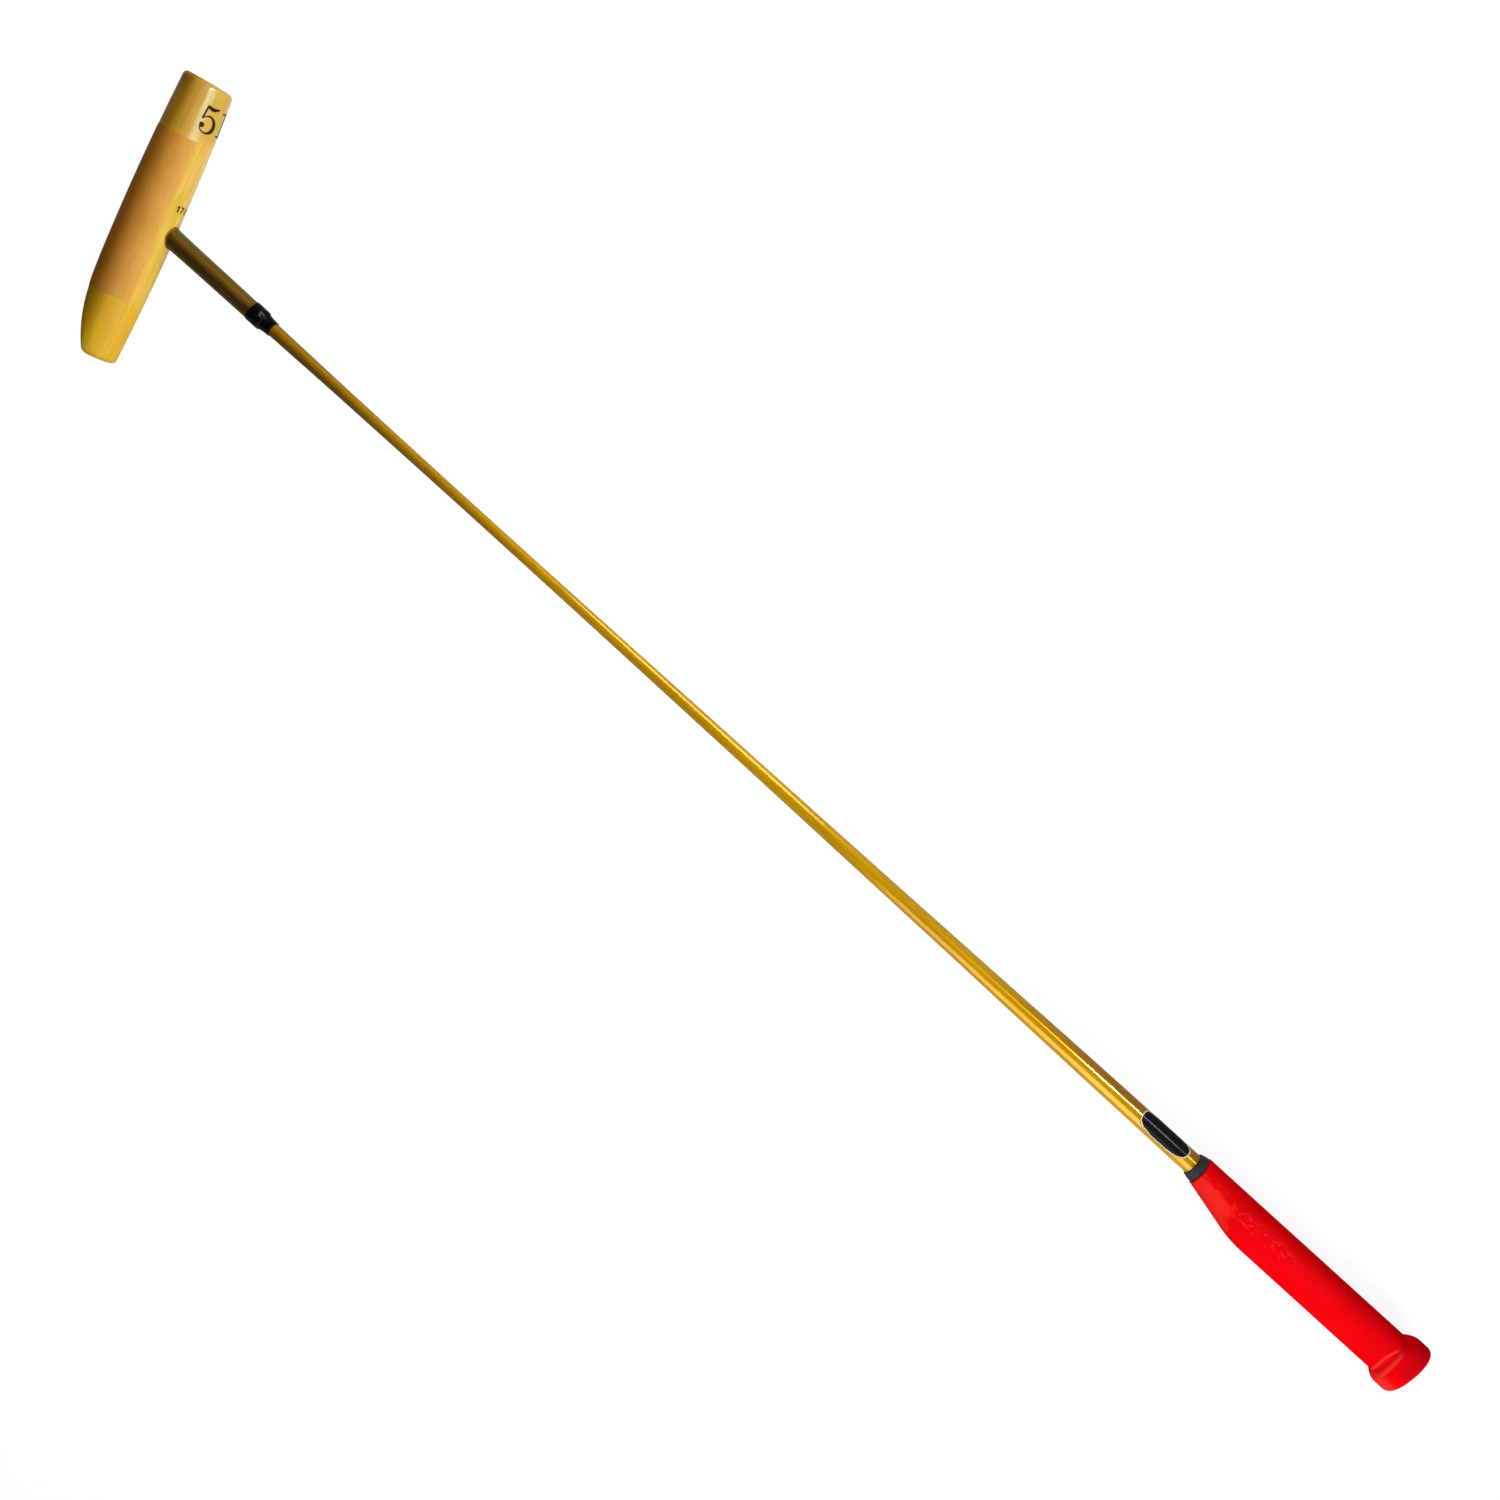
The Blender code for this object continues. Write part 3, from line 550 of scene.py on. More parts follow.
def make_grip():
    """The rubber moulding: rounded lip, flared nose, oval body and pommel with a rounded rim."""
    angles = around(200)
    stations = [(GRIP_START + GRIP_LIP * (1 - math.cos(t)), GRIP_LIP * (1 - math.sin(t)))
                for t in spread(0.0, math.pi / 2, 6)]
    stations += [(place, 0.0) for place in spread(GRIP_START + GRIP_LIP, POMMEL_START, 110)[1:]]
    stations += [(place, 0.0) for place in spread(POMMEL_START, POMMEL_START + POMMEL_SHOULDER, 16)[1:]]
    for turn in spread(0.0, math.pi / 2, 14):
        stations.append((BUTT_END - POMMEL_EDGE_ROUND * (1 - math.sin(turn)),
                         POMMEL_EDGE_ROUND * (1 - math.cos(turn))))
    rings = []
    for place, inset in stations:
        past = (place - POMMEL_START) / MM
        ring = []
        for angle, point in zip(angles, grip_points(place, inset, angles)):
            across = point[1] / MM
            first, second = [level + slope * across + curve * across ** 2
                             for level, slope, curve in RIDGES]
            ridges = sum(math.exp(-((past - at) / RIDGE_WIDTH) ** 2) for at in (first, second))
            hollow = math.exp(-((2 * past - first - second) / (second - first)) ** 2)
            degrees = math.degrees(angle)
            lower = ease((degrees - 58) / 25) * ease((165 - degrees) / 30)
            height = lower * (RIDGE_HEIGHT * ridges - RIDGE_HOLLOW * hollow)
            grow = 1 + height / math.hypot(point[1] - GRIP_CENTRE, point[2])
            ring.append((point[0], GRIP_CENTRE + (point[1] - GRIP_CENTRE) * grow, point[2] * grow))
        rings.append(ring)
    return loft("grip_moulding", rings, MALLET)


def smooth_line(knots, steps=7):
    """Points of a smooth curve through (across, down, width) knots."""
    knots = np.array(knots)
    ends = np.vstack([2 * knots[0] - knots[1], knots, 2 * knots[-1] - knots[-2]])
    line = []
    for a, b, c, d in zip(ends, ends[1:], ends[2:], ends[3:]):
        for t in spread(0.0, 1.0, steps)[:-1]:
            line.append(0.5 * (2 * b + (c - a) * t + (2 * a - 5 * b + 4 * c - d) * t ** 2
                               + (3 * b - a - 3 * c + d) * t ** 3))
    line.append(ends[-2])
    return np.array(line)


def stroke(knots, steps=7):
    """A pen stroke: rows of flat points across a smooth curve, as wide as the knots say."""
    line = smooth_line(knots, steps)
    flow = np.gradient(line[:, :2], axis=0)
    flow /= np.linalg.norm(flow, axis=1)[:, None] + 1e-12
    aside = np.stack([-flow[:, 1], flow[:, 0]], axis=1)
    half = np.maximum(line[:, 2], 0.02)[:, None] / 2
    return [line[:, :2] + aside * half * share for share in (-1.0, -0.5, 0.0, 0.5, 1.0)]


def disc(across, down, radius):
    """A round blot as a fan of rings."""
    turns = np.linspace(0, 2 * math.pi, 33)
    ring = np.stack([np.cos(turns), np.sin(turns)], axis=1)
    return [np.array([across, down]) + ring * radius * share for share in (0.002, 0.4, 0.75, 1.0)]


def printed(name, rows_list, wrap, matrix):
    """A thin print: each group of rows is a small sheet of flat points, wrapped onto a surface."""
    points = []
    faces = []
    for order, rows in enumerate(rows_list):
        start = len(points)
        count = len(rows[0])
        for row in rows:
            points += [wrap(u, v, order) for u, v in row]
        for i in range(len(rows) - 1):
            for j in range(count - 1):
                a = start + i * count + j
                faces.append((a, a + 1, a + count + 1, a + count))
    return finish_mesh(name, points, faces, matrix, 180.0)


def on_head(top, angle):
    """Wraps print onto the barrel: millimetres across from an angle, and down from a place."""
    def wrap(across, down, order):
        turn = math.radians(angle) - across * MM / HEAD_RADIUS
        return head_points(top + down * MM, PRINT_PROUD * (1 + 0.1 * order), [turn])[0]
    return wrap


def make_length_mark():
    """The two digits that give the mallet's length in inches."""
    five = [stroke([(5.2, 4.9, 2.2), (7.5, 5.3, 2.7), (10.3, 5.6, 2.7), (12.6, 5.0, 2.3),
                    (15.0, 4.1, 1.5), (16.8, 3.2, 0.4)]),
            stroke([(5.6, 4.3, 1.7), (5.3, 7.0, 1.6), (5.0, 10.0, 1.5), (4.6, 13.0, 1.4),
                    (4.3, 14.8, 1.2)]),
            stroke([(4.5, 14.6, 0.9), (5.8, 13.0, 1.0), (7.6, 11.7, 1.15), (10.1, 11.2, 1.35),
                    (12.7, 11.9, 1.9), (14.6, 13.4, 2.7), (15.9, 15.5, 3.4), (16.4, 17.9, 3.7),
                    (15.8, 20.3, 3.3), (14.2, 22.2, 2.4), (12.0, 23.5, 1.6), (9.6, 24.0, 1.15),
                    (7.3, 23.5, 1.0), (5.5, 22.3, 1.0), (4.4, 20.6, 1.0)]),
            disc(5.8, 19.1, 2.1)]
    one = [stroke([(28.2, 3.9, 2.8), (28.2, 13.0, 2.8), (28.2, 22.4, 2.8)], 16),
           stroke([(21.3, 5.1, 0.6), (23.5, 4.7, 1.1), (26.0, 4.3, 1.2), (28.3, 3.9, 1.2)]),
           stroke([(22.9, 22.3, 1.2), (28.2, 22.2, 1.3), (33.0, 22.3, 1.2)])]
    return printed("length_mark", five + one, on_head(LENGTH_MARK_PLACE, LENGTH_MARK_ANGLE), HEAD)


def make_weight_mark():
    """A small plain number beside the shaft."""
    seven = [stroke([(6.5, 4.4, 1.1), (8.2, 4.4, 1.1), (9.9, 4.4, 1.1)]),
             stroke([(9.7, 4.5, 1.2), (8.7, 6.3, 1.3), (7.9, 9.0, 1.3)])]
    one = [stroke([(3.9, 4.0, 1.5), (3.9, 6.5, 1.5), (3.9, 9.0, 1.5)]),
           stroke([(2.3, 5.5, 0.8), (3.1, 4.9, 0.9), (3.8, 4.2, 0.9)])]
    turns = np.linspace(0, 2 * math.pi, 13)
    nought = [stroke([(13.7 + 1.4 * math.sin(t), 6.5 - 2.1 * math.cos(t), 0.95) for t in turns], 4)]
    wrap_on = on_head(WEIGHT_MARK_PLACE, WEIGHT_MARK_ANGLE)
    return printed("weight_mark", one + seven + nought, wrap_on, HEAD)


def on_shaft(across, down, order):
    """Wraps print onto the shaft: millimetres along it and round it from the label's centre."""
    place = LABEL_CENTRE + across * MM
    radius = shaft_radius(place) + PRINT_PROUD * (1 + 0.5 * order)
    turn = LABEL_FACING + down * MM / radius
    return (place, radius * math.sin(turn), radius * math.cos(turn))


def oval_rows(shares, grow):
    """Rings of a long oval with flattened sides."""
    rows = []
    for share in shares:
        row = []
        for t in np.linspace(0, 2 * math.pi, 97):
            x = math.copysign(abs(math.cos(t)) ** 0.75, math.cos(t)) * (LABEL_LENGTH / 2 + grow)
            y = math.copysign(abs(math.sin(t)) ** 0.75, math.sin(t)) * (LABEL_HEIGHT / 2 + grow)
            row.append((x * share, y * share))
        rows.append(np.array(row))
    return rows


def make_label():
    """The label, a plain oval."""
    return printed("plain_label", [oval_rows(np.linspace(0.002, 1.0, 16), 0.0)], on_shaft, MALLET)


def make_keyline():
    """The label's cream border line."""
    rows = [oval_rows([1.0], grow)[0] for grow in (-1.2, -0.7, -0.2)]
    return printed("label_keyline", [rows, rows], on_shaft, MALLET)


# Finishes
def add(tree, kind, inputs=None, **settings):
    """Adds a shader node, with numbers, colours or other nodes' sockets given to its inputs."""
    item = tree.nodes.new(kind)
    for key, value in settings.items():
        setattr(item, key, value)
    for key, value in (inputs or {}).items():
        if isinstance(value, bpy.types.NodeSocket):
            tree.links.new(value, item.inputs[key])
        else:
            item.inputs[key].default_value = value
    return item


def new_finish(name, values, matrix=MALLET):
    """A material whose principled shader gets the values, and a piece's own coordinates."""
    material = bpy.data.materials.new(name)
    material.use_nodes = True
    tree = material.node_tree
    shader = tree.nodes["Principled BSDF"]
    for key, value in values.items():
        shader.inputs[key].default_value = value
    inverse = matrix.inverted()
    world = add(tree, "ShaderNodeTexCoord").outputs["Object"]
    place = add(tree, "ShaderNodeMapping", {"Vector": world, "Location": inverse.translation,
                                            "Rotation": inverse.to_euler()})
    return material, tree, shader, place.outputs[0]


def noise(tree, place, scale, size=1.0, detail=3.0, roughness=0.5, distortion=0.0):
    """Noise over the piece's own coordinates, stretched by a scale per axis."""
    mapped = add(tree, "ShaderNodeMapping", {"Vector": place, "Scale": scale})
    field = add(tree, "ShaderNodeTexNoise", {"Vector": mapped.outputs[0], "Scale": size, "Detail": detail,
                                             "Roughness": roughness, "Distortion": distortion})
    return field.outputs["Fac"]


def ramp(tree, value, stops):
    """A colour read from stops of (place, colour)."""
    item = add(tree, "ShaderNodeValToRGB", {"Fac": value})
    elements = item.color_ramp.elements
    while len(elements) < len(stops):
        elements.new(0.5)
    for element, (place, colour) in zip(elements, stops):
        element.position = place
        element.color = (*colour, 1.0)
    return item.outputs["Color"]


def blend(tree, factor, one, two, kind="MIX"):
    """Mixes two colours."""
    item = add(tree, "ShaderNodeMix", data_type="RGBA", blend_type=kind)
    for socket, value in ((item.inputs[0], factor), (item.inputs[6], one), (item.inputs[7], two)):
        if isinstance(value, bpy.types.NodeSocket):
            tree.links.new(value, socket)
        elif isinstance(value, tuple):
            socket.default_value = (*value, 1.0)
        else:
            socket.default_value = value
    return item.outputs[2]


def limits(tree, value, low, high, to_low=0.0, to_high=1.0):
    """Carries a value from one range to another, smoothly and within it."""
    item = add(tree, "ShaderNodeMapRange", {"Value": value, "From Min": low, "From Max": high,
                                            "To Min": to_low, "To Max": to_high},
               interpolation_type="SMOOTHSTEP")
    return item.outputs[0]


def limits_linear(tree, value, low, high):
    """Carries a value evenly from one range to nought to one."""
    return add(tree, "ShaderNodeMapRange", {"Value": value, "From Min": low, "From Max": high}).outputs[0]


def calculate(tree, operation, *values):
    """The outcome of one sum on numbers or other nodes' sockets."""
    return add(tree, "ShaderNodeMath", dict(enumerate(values)), operation=operation).outputs[0]


def product(tree, one, two):
    """One value times another."""
    return calculate(tree, "MULTIPLY", one, two)


def coordinates(tree, place):
    """A place's three distances: along, across and up."""
    return add(tree, "ShaderNodeSeparateXYZ", {"Vector": place}).outputs[:]


def paint(tree, shader, colour):
    """Gives the shader its colour."""
    tree.links.new(colour, shader.inputs["Base Color"])


def bump(tree, shader, height, distance, strength):
    """Relief on the shader's normal."""
    item = add(tree, "ShaderNodeBump", {"Height": height, "Distance": distance, "Strength": strength})
    tree.links.new(item.outputs["Normal"], shader.inputs["Normal"])


def timber_finish():
    """Varnished timber with olive and orange patches, worn bare on its lower side, with painted shade on
    that side and painted light on the other.
    """
    material, tree, shader, place = new_finish("dressed_timber", {
        "Roughness": 0.5, "Coat Roughness": 0.22, "Coat IOR": 1.4, "Specular IOR Level": 0.02}, HEAD)
    along, across = coordinates(tree, place)[:2]
    grain = noise(tree, place, (12.0, 230.0, 230.0), detail=6.0, distortion=0.4)
    patch = noise(tree, place, (32.0, 95.0, 95.0), detail=2.5, distortion=0.3)
    fibre = noise(tree, place, (60.0, 1800.0, 1800.0), detail=3.0)
    base = ramp(tree, grain, [
        (0.3, (0.70, 0.40, 0.035)), (0.5, (0.79, 0.49, 0.06)), (0.72, (0.87, 0.56, 0.09))])
    base = blend(tree, limits(tree, patch, 0.48, 0.66, 0.0, 0.55), base, (0.62, 0.44, 0.012))
    base = blend(tree, limits(tree, patch, 0.48, 0.34, 0.0, 0.5), base, (0.84, 0.44, 0.10))
    base = blend(tree, limits(tree, fibre, 0.45, 0.62, 0.0, 0.2), base, (0.60, 0.32, 0.03))
    # Painted shade and painted light: darker and browner toward the lower, shaded side, paler toward the
    # upper, lit side
    tone = ramp(tree, limits_linear(tree, across, -TONE_REACH, TONE_REACH), [
        (0.0, (0.80, 0.68, 0.16)), (0.25, (0.90, 0.77, 0.24)), (0.5, (1.0, 0.94, 0.55)),
        (0.75, (1.05, 1.05, 1.0)), (1.0, (1.05, 1.07, 1.05))])
    base = blend(tree, 1.0, base, tone, "MULTIPLY")
    # Yellower beyond the cloth at the heel, and browner at the toe, most at its lower corner
    heel = limits(tree, along, 60 * MM, 70 * MM)
    base = blend(tree, heel, base, (1.0, 0.95, 0.45), "MULTIPLY")
    toe = limits(tree, along, -64 * MM, -72 * MM)
    base = blend(tree, toe, base, (0.88, 0.85, 0.95), "MULTIPLY")
    corner = product(tree, limits(tree, along, -88 * MM, -108 * MM), limits(tree, across, 2 * MM, -12 * MM))
    base = blend(tree, corner, base, (0.78, 0.62, 0.6), "MULTIPLY")
    end_grain = limits(tree, along, -TOE_LENGTH + 2.5 * MM, -TOE_LENGTH + 0.3 * MM, 0.0, 0.7)
    base = blend(tree, end_grain, base, (0.36, 0.17, 0.02))
    paint(tree, shader, base)
    varnish = product(tree, limits(tree, along, WRAP_END, WRAP_START, 0.2, 1.0),
                      limits(tree, across, -4 * MM, 8 * MM, 0.12, 1.0))
    tree.links.new(varnish, shader.inputs["Coat Weight"])
    bump(tree, shader, grain, 0.0002, 0.1)
    return material


def cloth_finish():
    """Cloth soaked in varnish, its weave still faintly felt, with painted shade on its lower side and
    painted light on its upper side.
    """
    material, tree, shader, place = new_finish("dressed_cloth", {
        "Roughness": 0.55, "Coat Weight": 0.05, "Coat Roughness": 0.3, "Coat IOR": 1.3,
        "Specular IOR Level": 0.01}, HEAD)
    across = coordinates(tree, place)[1]
    patch = noise(tree, place, (30.0, 90.0, 90.0), detail=4.0)
    fibre = noise(tree, place, (180.0, 900.0, 900.0), detail=3.0)
    base = ramp(tree, patch, [(0.3, (0.70, 0.33, 0.055)), (0.7, (0.80, 0.39, 0.08))])
    base = blend(tree, limits(tree, fibre, 0.4, 0.65, 0.0, 0.2), base, (0.55, 0.25, 0.04))
    # Painted shade and painted light: darker and browner toward the lower, shaded side, paler toward the
    # upper, lit side
    tone = ramp(tree, limits_linear(tree, across, -TONE_REACH, TONE_REACH), [
        (0.0, (0.78, 0.55, 0.15)), (0.25, (0.92, 0.74, 0.30)), (0.5, (1.0, 0.87, 0.62)),
        (0.75, (1.04, 1.04, 1.05)), (1.0, (1.10, 1.17, 1.25))])
    paint(tree, shader, blend(tree, 1.0, base, tone, "MULTIPLY"))
    weave = add(tree, "ShaderNodeTexWave", {"Vector": place, "Scale": 450.0, "Distortion": 0.6},
                bands_direction="X")
    bump(tree, shader, weave.outputs["Fac"], 0.00005, 0.5)
    return material


def lacquer_finish():
    """Gold lacquer in faint streaks, with painted shade that darkens it toward the head, on its lower side
    toward the head and on its upper side near the grip.
    """
    material, tree, shader, place = new_finish("dressed_lacquer", {
        "Metallic": 0.1, "Roughness": 0.2, "Coat Weight": 0.1, "Coat Roughness": 0.06, "Coat IOR": 2.0,
        "Specular IOR Level": 0.02})
    along, across = coordinates(tree, place)[:2]
    mottle = noise(tree, place, (14.0, 130.0, 130.0), detail=5.0, distortion=0.6)
    cloud = noise(tree, place, (5.0, 40.0, 40.0), detail=2.0)
    streak = noise(tree, place, (7.0, 260.0, 260.0), detail=3.0)
    base = ramp(tree, mottle, [
        (0.3, (0.55, 0.265, 0.001)), (0.5, (0.63, 0.325, 0.001)), (0.7, (0.69, 0.365, 0.002))])
    base = blend(tree, limits(tree, cloud, 0.5, 0.75, 0.0, 0.4), base, (0.50, 0.20, 0.001))
    base = blend(tree, limits(tree, streak, 0.5, 0.66, 0.0, 0.35), base, (0.56, 0.34, 0.001))
    # Painted shade: darker and greyer toward the head, where less light falls on the shaft
    painted_shade_headward = limits(tree, along, 400 * MM, 110 * MM)
    tone = ramp(tree, streak, [(0.4, (0.575, 0.468, 0.5)), (0.6, (0.525, 0.515, 0.5))])
    base = blend(tree, painted_shade_headward, base, tone, "MULTIPLY")
    # Two layers of painted shade on the lower side, neither of them under the sleeve
    past_sleeve = limits(tree, along, 100 * MM, 118 * MM)
    for unshaded_place, shaded_place, middle, edge, colour in ((400, 140, 2.5, -3.5, (0.45, 0.45, 0.4)),
                                               (660, 250, -1.0, -5.0, (0.68, 0.68, 0.5))):
        painted_shade_layer = product(tree, limits(tree, along, unshaded_place * MM, shaded_place * MM),
                        limits(tree, across, middle * MM, edge * MM))
        base = blend(tree, product(tree, painted_shade_layer, past_sleeve), base, colour, "MULTIPLY")
    # Painted shade: browner on the upper side near the grip
    painted_shade_upper = product(tree, limits(tree, along, 820 * MM, 980 * MM),
                      limits(tree, across, 0.5 * MM, 5 * MM))
    paint(tree, shader, blend(tree, painted_shade_upper, base, (0.62, 0.46, 0.3), "MULTIPLY"))
    return material


def smoke_finish():
    """A smoky clear wall, which hides more where it is seen edge on."""
    material, tree, shader, place = new_finish("dressed_smoke", {
        "Roughness": 0.4, "Specular IOR Level": 0.02})
    blotch = noise(tree, place, (16.0, 150.0, 150.0), detail=3.0, distortion=0.5)
    paint(tree, shader, ramp(tree, blotch, [(0.35, (0.19, 0.115, 0.025)), (0.6, (0.15, 0.115, 0.025))]))
    facing = add(tree, "ShaderNodeLayerWeight", {"Blend": 0.5}).outputs["Facing"]
    smoke = limits(tree, blotch, 0.3, 0.7, 0.1, 0.22)
    wall = limits(tree, facing, 0.32, 0.45, 0.0, 0.78)
    tree.links.new(calculate(tree, "ADD", smoke, wall), shader.inputs["Alpha"])
    return material


def tape_finish():
    """Black tape, with painted glints on its creased shoulder and rusty at its cut end."""
    material, tree, shader, place = new_finish("dressed_tape", {
        "Roughness": 0.35, "Specular IOR Level": 0.03})
    along = coordinates(tree, place)[0]
    crinkle = noise(tree, place, (260.0, 260.0, 260.0), detail=4.0)
    glint_spots = noise(tree, place, (210.0, 190.0, 190.0), detail=2.0)
    base = ramp(tree, crinkle, [(0.3, (0.0015, 0.0015, 0.001)), (0.7, (0.004, 0.004, 0.003))])
    # Painted glints: pale grey spots on the creased shoulder
    creased = product(tree, limits(tree, along, TAPE_SHOULDER - 6 * MM, TAPE_SHOULDER - 2 * MM),
                      limits(tree, along, TAPE_SHOULDER + 3 * MM, TAPE_SHOULDER + 1 * MM))
    painted_glint = product(tree, creased, limits(tree, glint_spots, 0.56, 0.66))
    base = blend(tree, painted_glint, base, (0.11, 0.11, 0.11))
    cut_end = limits(tree, along, TAPE_END - 1.0 * MM, TAPE_END - 0.6 * MM)
    paint(tree, shader, blend(tree, cut_end, base, (0.05, 0.008, 0.002)))
    bump(tree, shader, crinkle, 0.0004, 0.35)
    return material


def rubber_finish():
    """Red rubber, paler where it is rubbed, paler on the pommel's ridges from wear and painted highlight,
    with painted light on the pommel's lower outline and painted shade on its upper half.
    """
    material, tree, shader, place = new_finish("dressed_rubber", {
        "Roughness": 0.6, "Specular IOR Level": 0.005})
    along, across, up = coordinates(tree, place)
    patch = noise(tree, place, (25.0, 75.0, 75.0), detail=5.0, roughness=0.6)
    grit = noise(tree, place, (260.0, 420.0, 420.0), detail=3.0)
    pore = noise(tree, place, (900.0, 900.0, 900.0), detail=2.0)
    base = ramp(tree, patch, [
        (0.35, (0.87, 0.0004, 0.003)), (0.55, (0.93, 0.0006, 0.004)), (0.75, (0.97, 0.002, 0.005))])
    # Rubbed patches, most near the nose and on the upper side
    near_nose = limits(tree, along, GRIP_START + 62 * MM, GRIP_START + 12 * MM, -0.3, 0.3)
    lower_side = limits(tree, across, 2 * MM, -4 * MM, -0.6, 0.0)
    bias = calculate(tree, "ADD", near_nose, lower_side)
    rubbed = limits(tree, calculate(tree, "ADD", patch, bias), 0.46, 0.58)
    base = blend(tree, rubbed, base, (1.0, 0.022, 0.016))
    # Pale specks along the middle of the front half
    off_middle = calculate(tree, "ABSOLUTE", calculate(tree, "ADD", across, 2 * MM))
    middle = product(tree, limits(tree, off_middle, 8 * MM, 2 * MM),
                     limits(tree, along, GRIP_START + 150 * MM, GRIP_START + 60 * MM))
    specks = product(tree, middle, limits(tree, grit, 0.5, 0.62, 0.0, 0.8))
    base = blend(tree, specks, base, (1.0, 0.020, 0.018))
    # Pale lines on the ridges, partly wear and partly painted highlight, whose places are counted from the
    # pommel's slanted start
    slanted = calculate(tree, "MULTIPLY_ADD", across, -POMMEL_LEAN, along)
    past = calculate(tree, "SUBTRACT", slanted, POMMEL_START - POMMEL_LEAN * GRIP_CENTRE)
    lower_top = product(tree, limits(tree, across, 5 * MM, 0.0), limits(tree, up, 3 * MM, 8 * MM))
    for (level, slope, curve), half in zip(RIDGES, (1.5 * MM, 2.2 * MM)):
        line = calculate(tree, "MULTIPLY_ADD", across, curve / MM, slope)
        line = calculate(tree, "MULTIPLY_ADD", across, line, level * MM)
        away = calculate(tree, "ABSOLUTE", calculate(tree, "SUBTRACT", past, line))
        painted_glint = product(tree, lower_top, limits(tree, away, half, 0.3 * half))
        base = blend(tree, painted_glint, base, (1.0, 0.035, 0.028))
    # Painted light on the pommel's pale lower outline, and painted shade on its deeper red upper half
    painted_light_flank = product(tree, limits(tree, past, -1 * MM, 3 * MM),
                    limits(tree, across, -17 * MM, -24 * MM, 0.0, 0.9))
    base = blend(tree, painted_light_flank, base, (1.0, 0.032, 0.026))
    shaded = product(tree, limits(tree, past, 4 * MM, 14 * MM),
                     limits(tree, across, -16 * MM, -4 * MM, 0.0, 0.9))
    paint(tree, shader, blend(tree, shaded, base, (0.64, 0.0005, 0.006)))
    bump(tree, shader, pore, 0.00008, 0.2)
    return material


def mottled_finish(name, values, scale, dark, light, edge, relief=None, matrix=MALLET, **kind):
    """A finish that wanders from dark to light, with relief of a depth and a strength."""
    material, tree, shader, place = new_finish(name, values, matrix)
    field = noise(tree, place, scale, **kind)
    paint(tree, shader, ramp(tree, field, [(edge, dark), (1 - edge, light)]))
    if relief:
        bump(tree, shader, field, *relief)
    return material


def ink_finish(name, dark, light, matrix):
    """Printing ink, slightly uneven."""
    return mottled_finish(name, {
        "Roughness": 0.5, "Coat Weight": 0.04, "Coat Roughness": 0.08, "Coat IOR": 1.5,
        "Specular IOR Level": 0.02}, (400.0, 400.0, 400.0), dark, light, 0.35, matrix=matrix, detail=3.0)


def plain_timber_finish(name, dark, light):
    """Bare timber for the wedge, the dowel and the grip's core halves."""
    return mottled_finish(name, {"Roughness": 0.65, "Specular IOR Level": 0.3}, (40.0, 500.0, 500.0),
                          dark, light, 0.3, relief=(0.0002, 0.3), detail=5.0, distortion=0.3)


# Build
head = make_head()
wrap = make_wrap()
shaft = make_shaft()
bore = shaft_cutter("bore", SHAFT_START, 2 * HEAD_RADIUS, CLEARANCE)
hole = shaft_cutter("hole", 2 * SHAFT_START, 0.0, 2 * CLEARANCE)
slit = make_slit()
cradle = make_cradle()
cut(head, bore)
cut(wrap, hole)
cut(shaft, slit)
cut(shaft, cradle)
discard(bore, hole, slit, cradle)
dress(head, timber_finish(), "varnished_timber", "head")
dress(wrap, cloth_finish(), "varnished_cloth", "head_wrap")
dress(shaft, lacquer_finish(), "gold_lacquer", "shaft")
dress(make_sleeve(), smoke_finish(), "smoky_clear", "shaft_sleeve")
dress(make_tape(), tape_finish(), "glossy_tape", "sleeve_tape")
ring_look = mottled_finish("dressed_ring", {"Roughness": 0.6, "Specular IOR Level": 0.06},
                           (260.0, 260.0, 260.0), (0.022, 0.017, 0.019), (0.050, 0.040, 0.046), 0.35,
                           relief=(0.0001, 0.3), detail=5.0, roughness=0.7)
dress(make_ring(), ring_look, "ring_rubber", "grip_ring")
dress(make_grip(), rubber_finish(), "red_rubber", "grip")
brown_ink = ink_finish("dressed_ink", (0.026, 0.008, 0.0005), (0.050, 0.018, 0.001), HEAD)
black_ink = ink_finish("dressed_label", (0.004, 0.003, 0.004), (0.009, 0.007, 0.008), MALLET)
cream_ink = ink_finish("dressed_keyline", (0.80, 0.62, 0.30), (0.95, 0.80, 0.50), MALLET)
dress(make_length_mark(), brown_ink, "varnished_timber")
dress(make_weight_mark(), brown_ink, "varnished_timber")
dress(make_label(), black_ink, "gold_lacquer")
dress(make_keyline(), cream_ink, "gold_lacquer")

hidden_looks = {
    "tip_dowel": plain_timber_finish("dressed_dowel", (0.52, 0.34, 0.15), (0.70, 0.50, 0.26)),
    "head_wedge": plain_timber_finish("dressed_wedge", (0.24, 0.10, 0.04), (0.40, 0.20, 0.09)),
    "handle_pallet_left": plain_timber_finish(
        "dressed_left_core", (0.50, 0.34, 0.17), (0.65, 0.47, 0.26)),
    "handle_pallet_right": plain_timber_finish(
        "dressed_right_core", (0.48, 0.32, 0.15), (0.63, 0.45, 0.24)),
    "butt_plug": mottled_finish(
        "dressed_plug", {"Roughness": 0.5}, (700.0, 700.0, 700.0), (0.12, 0.12, 0.12),
        (0.17, 0.17, 0.17), 0.3, relief=(0.00005, 0.2), detail=3.0),
}
for node, look in hidden_looks.items():
    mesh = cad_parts[node].data
    mesh.materials.clear()
    mesh.materials.append(look)


# Floor, light and camera
def background_rays(tree):
    """One for the rays that see the background, and nothing for those that carry its light."""
    ray = add(tree, "ShaderNodeLightPath").outputs
    gloss = calculate(tree, "MAXIMUM", ray["Is Glossy Ray"], ray["Is Transmission Ray"])
    return calculate(tree, "MAXIMUM", ray["Is Camera Ray"], gloss)


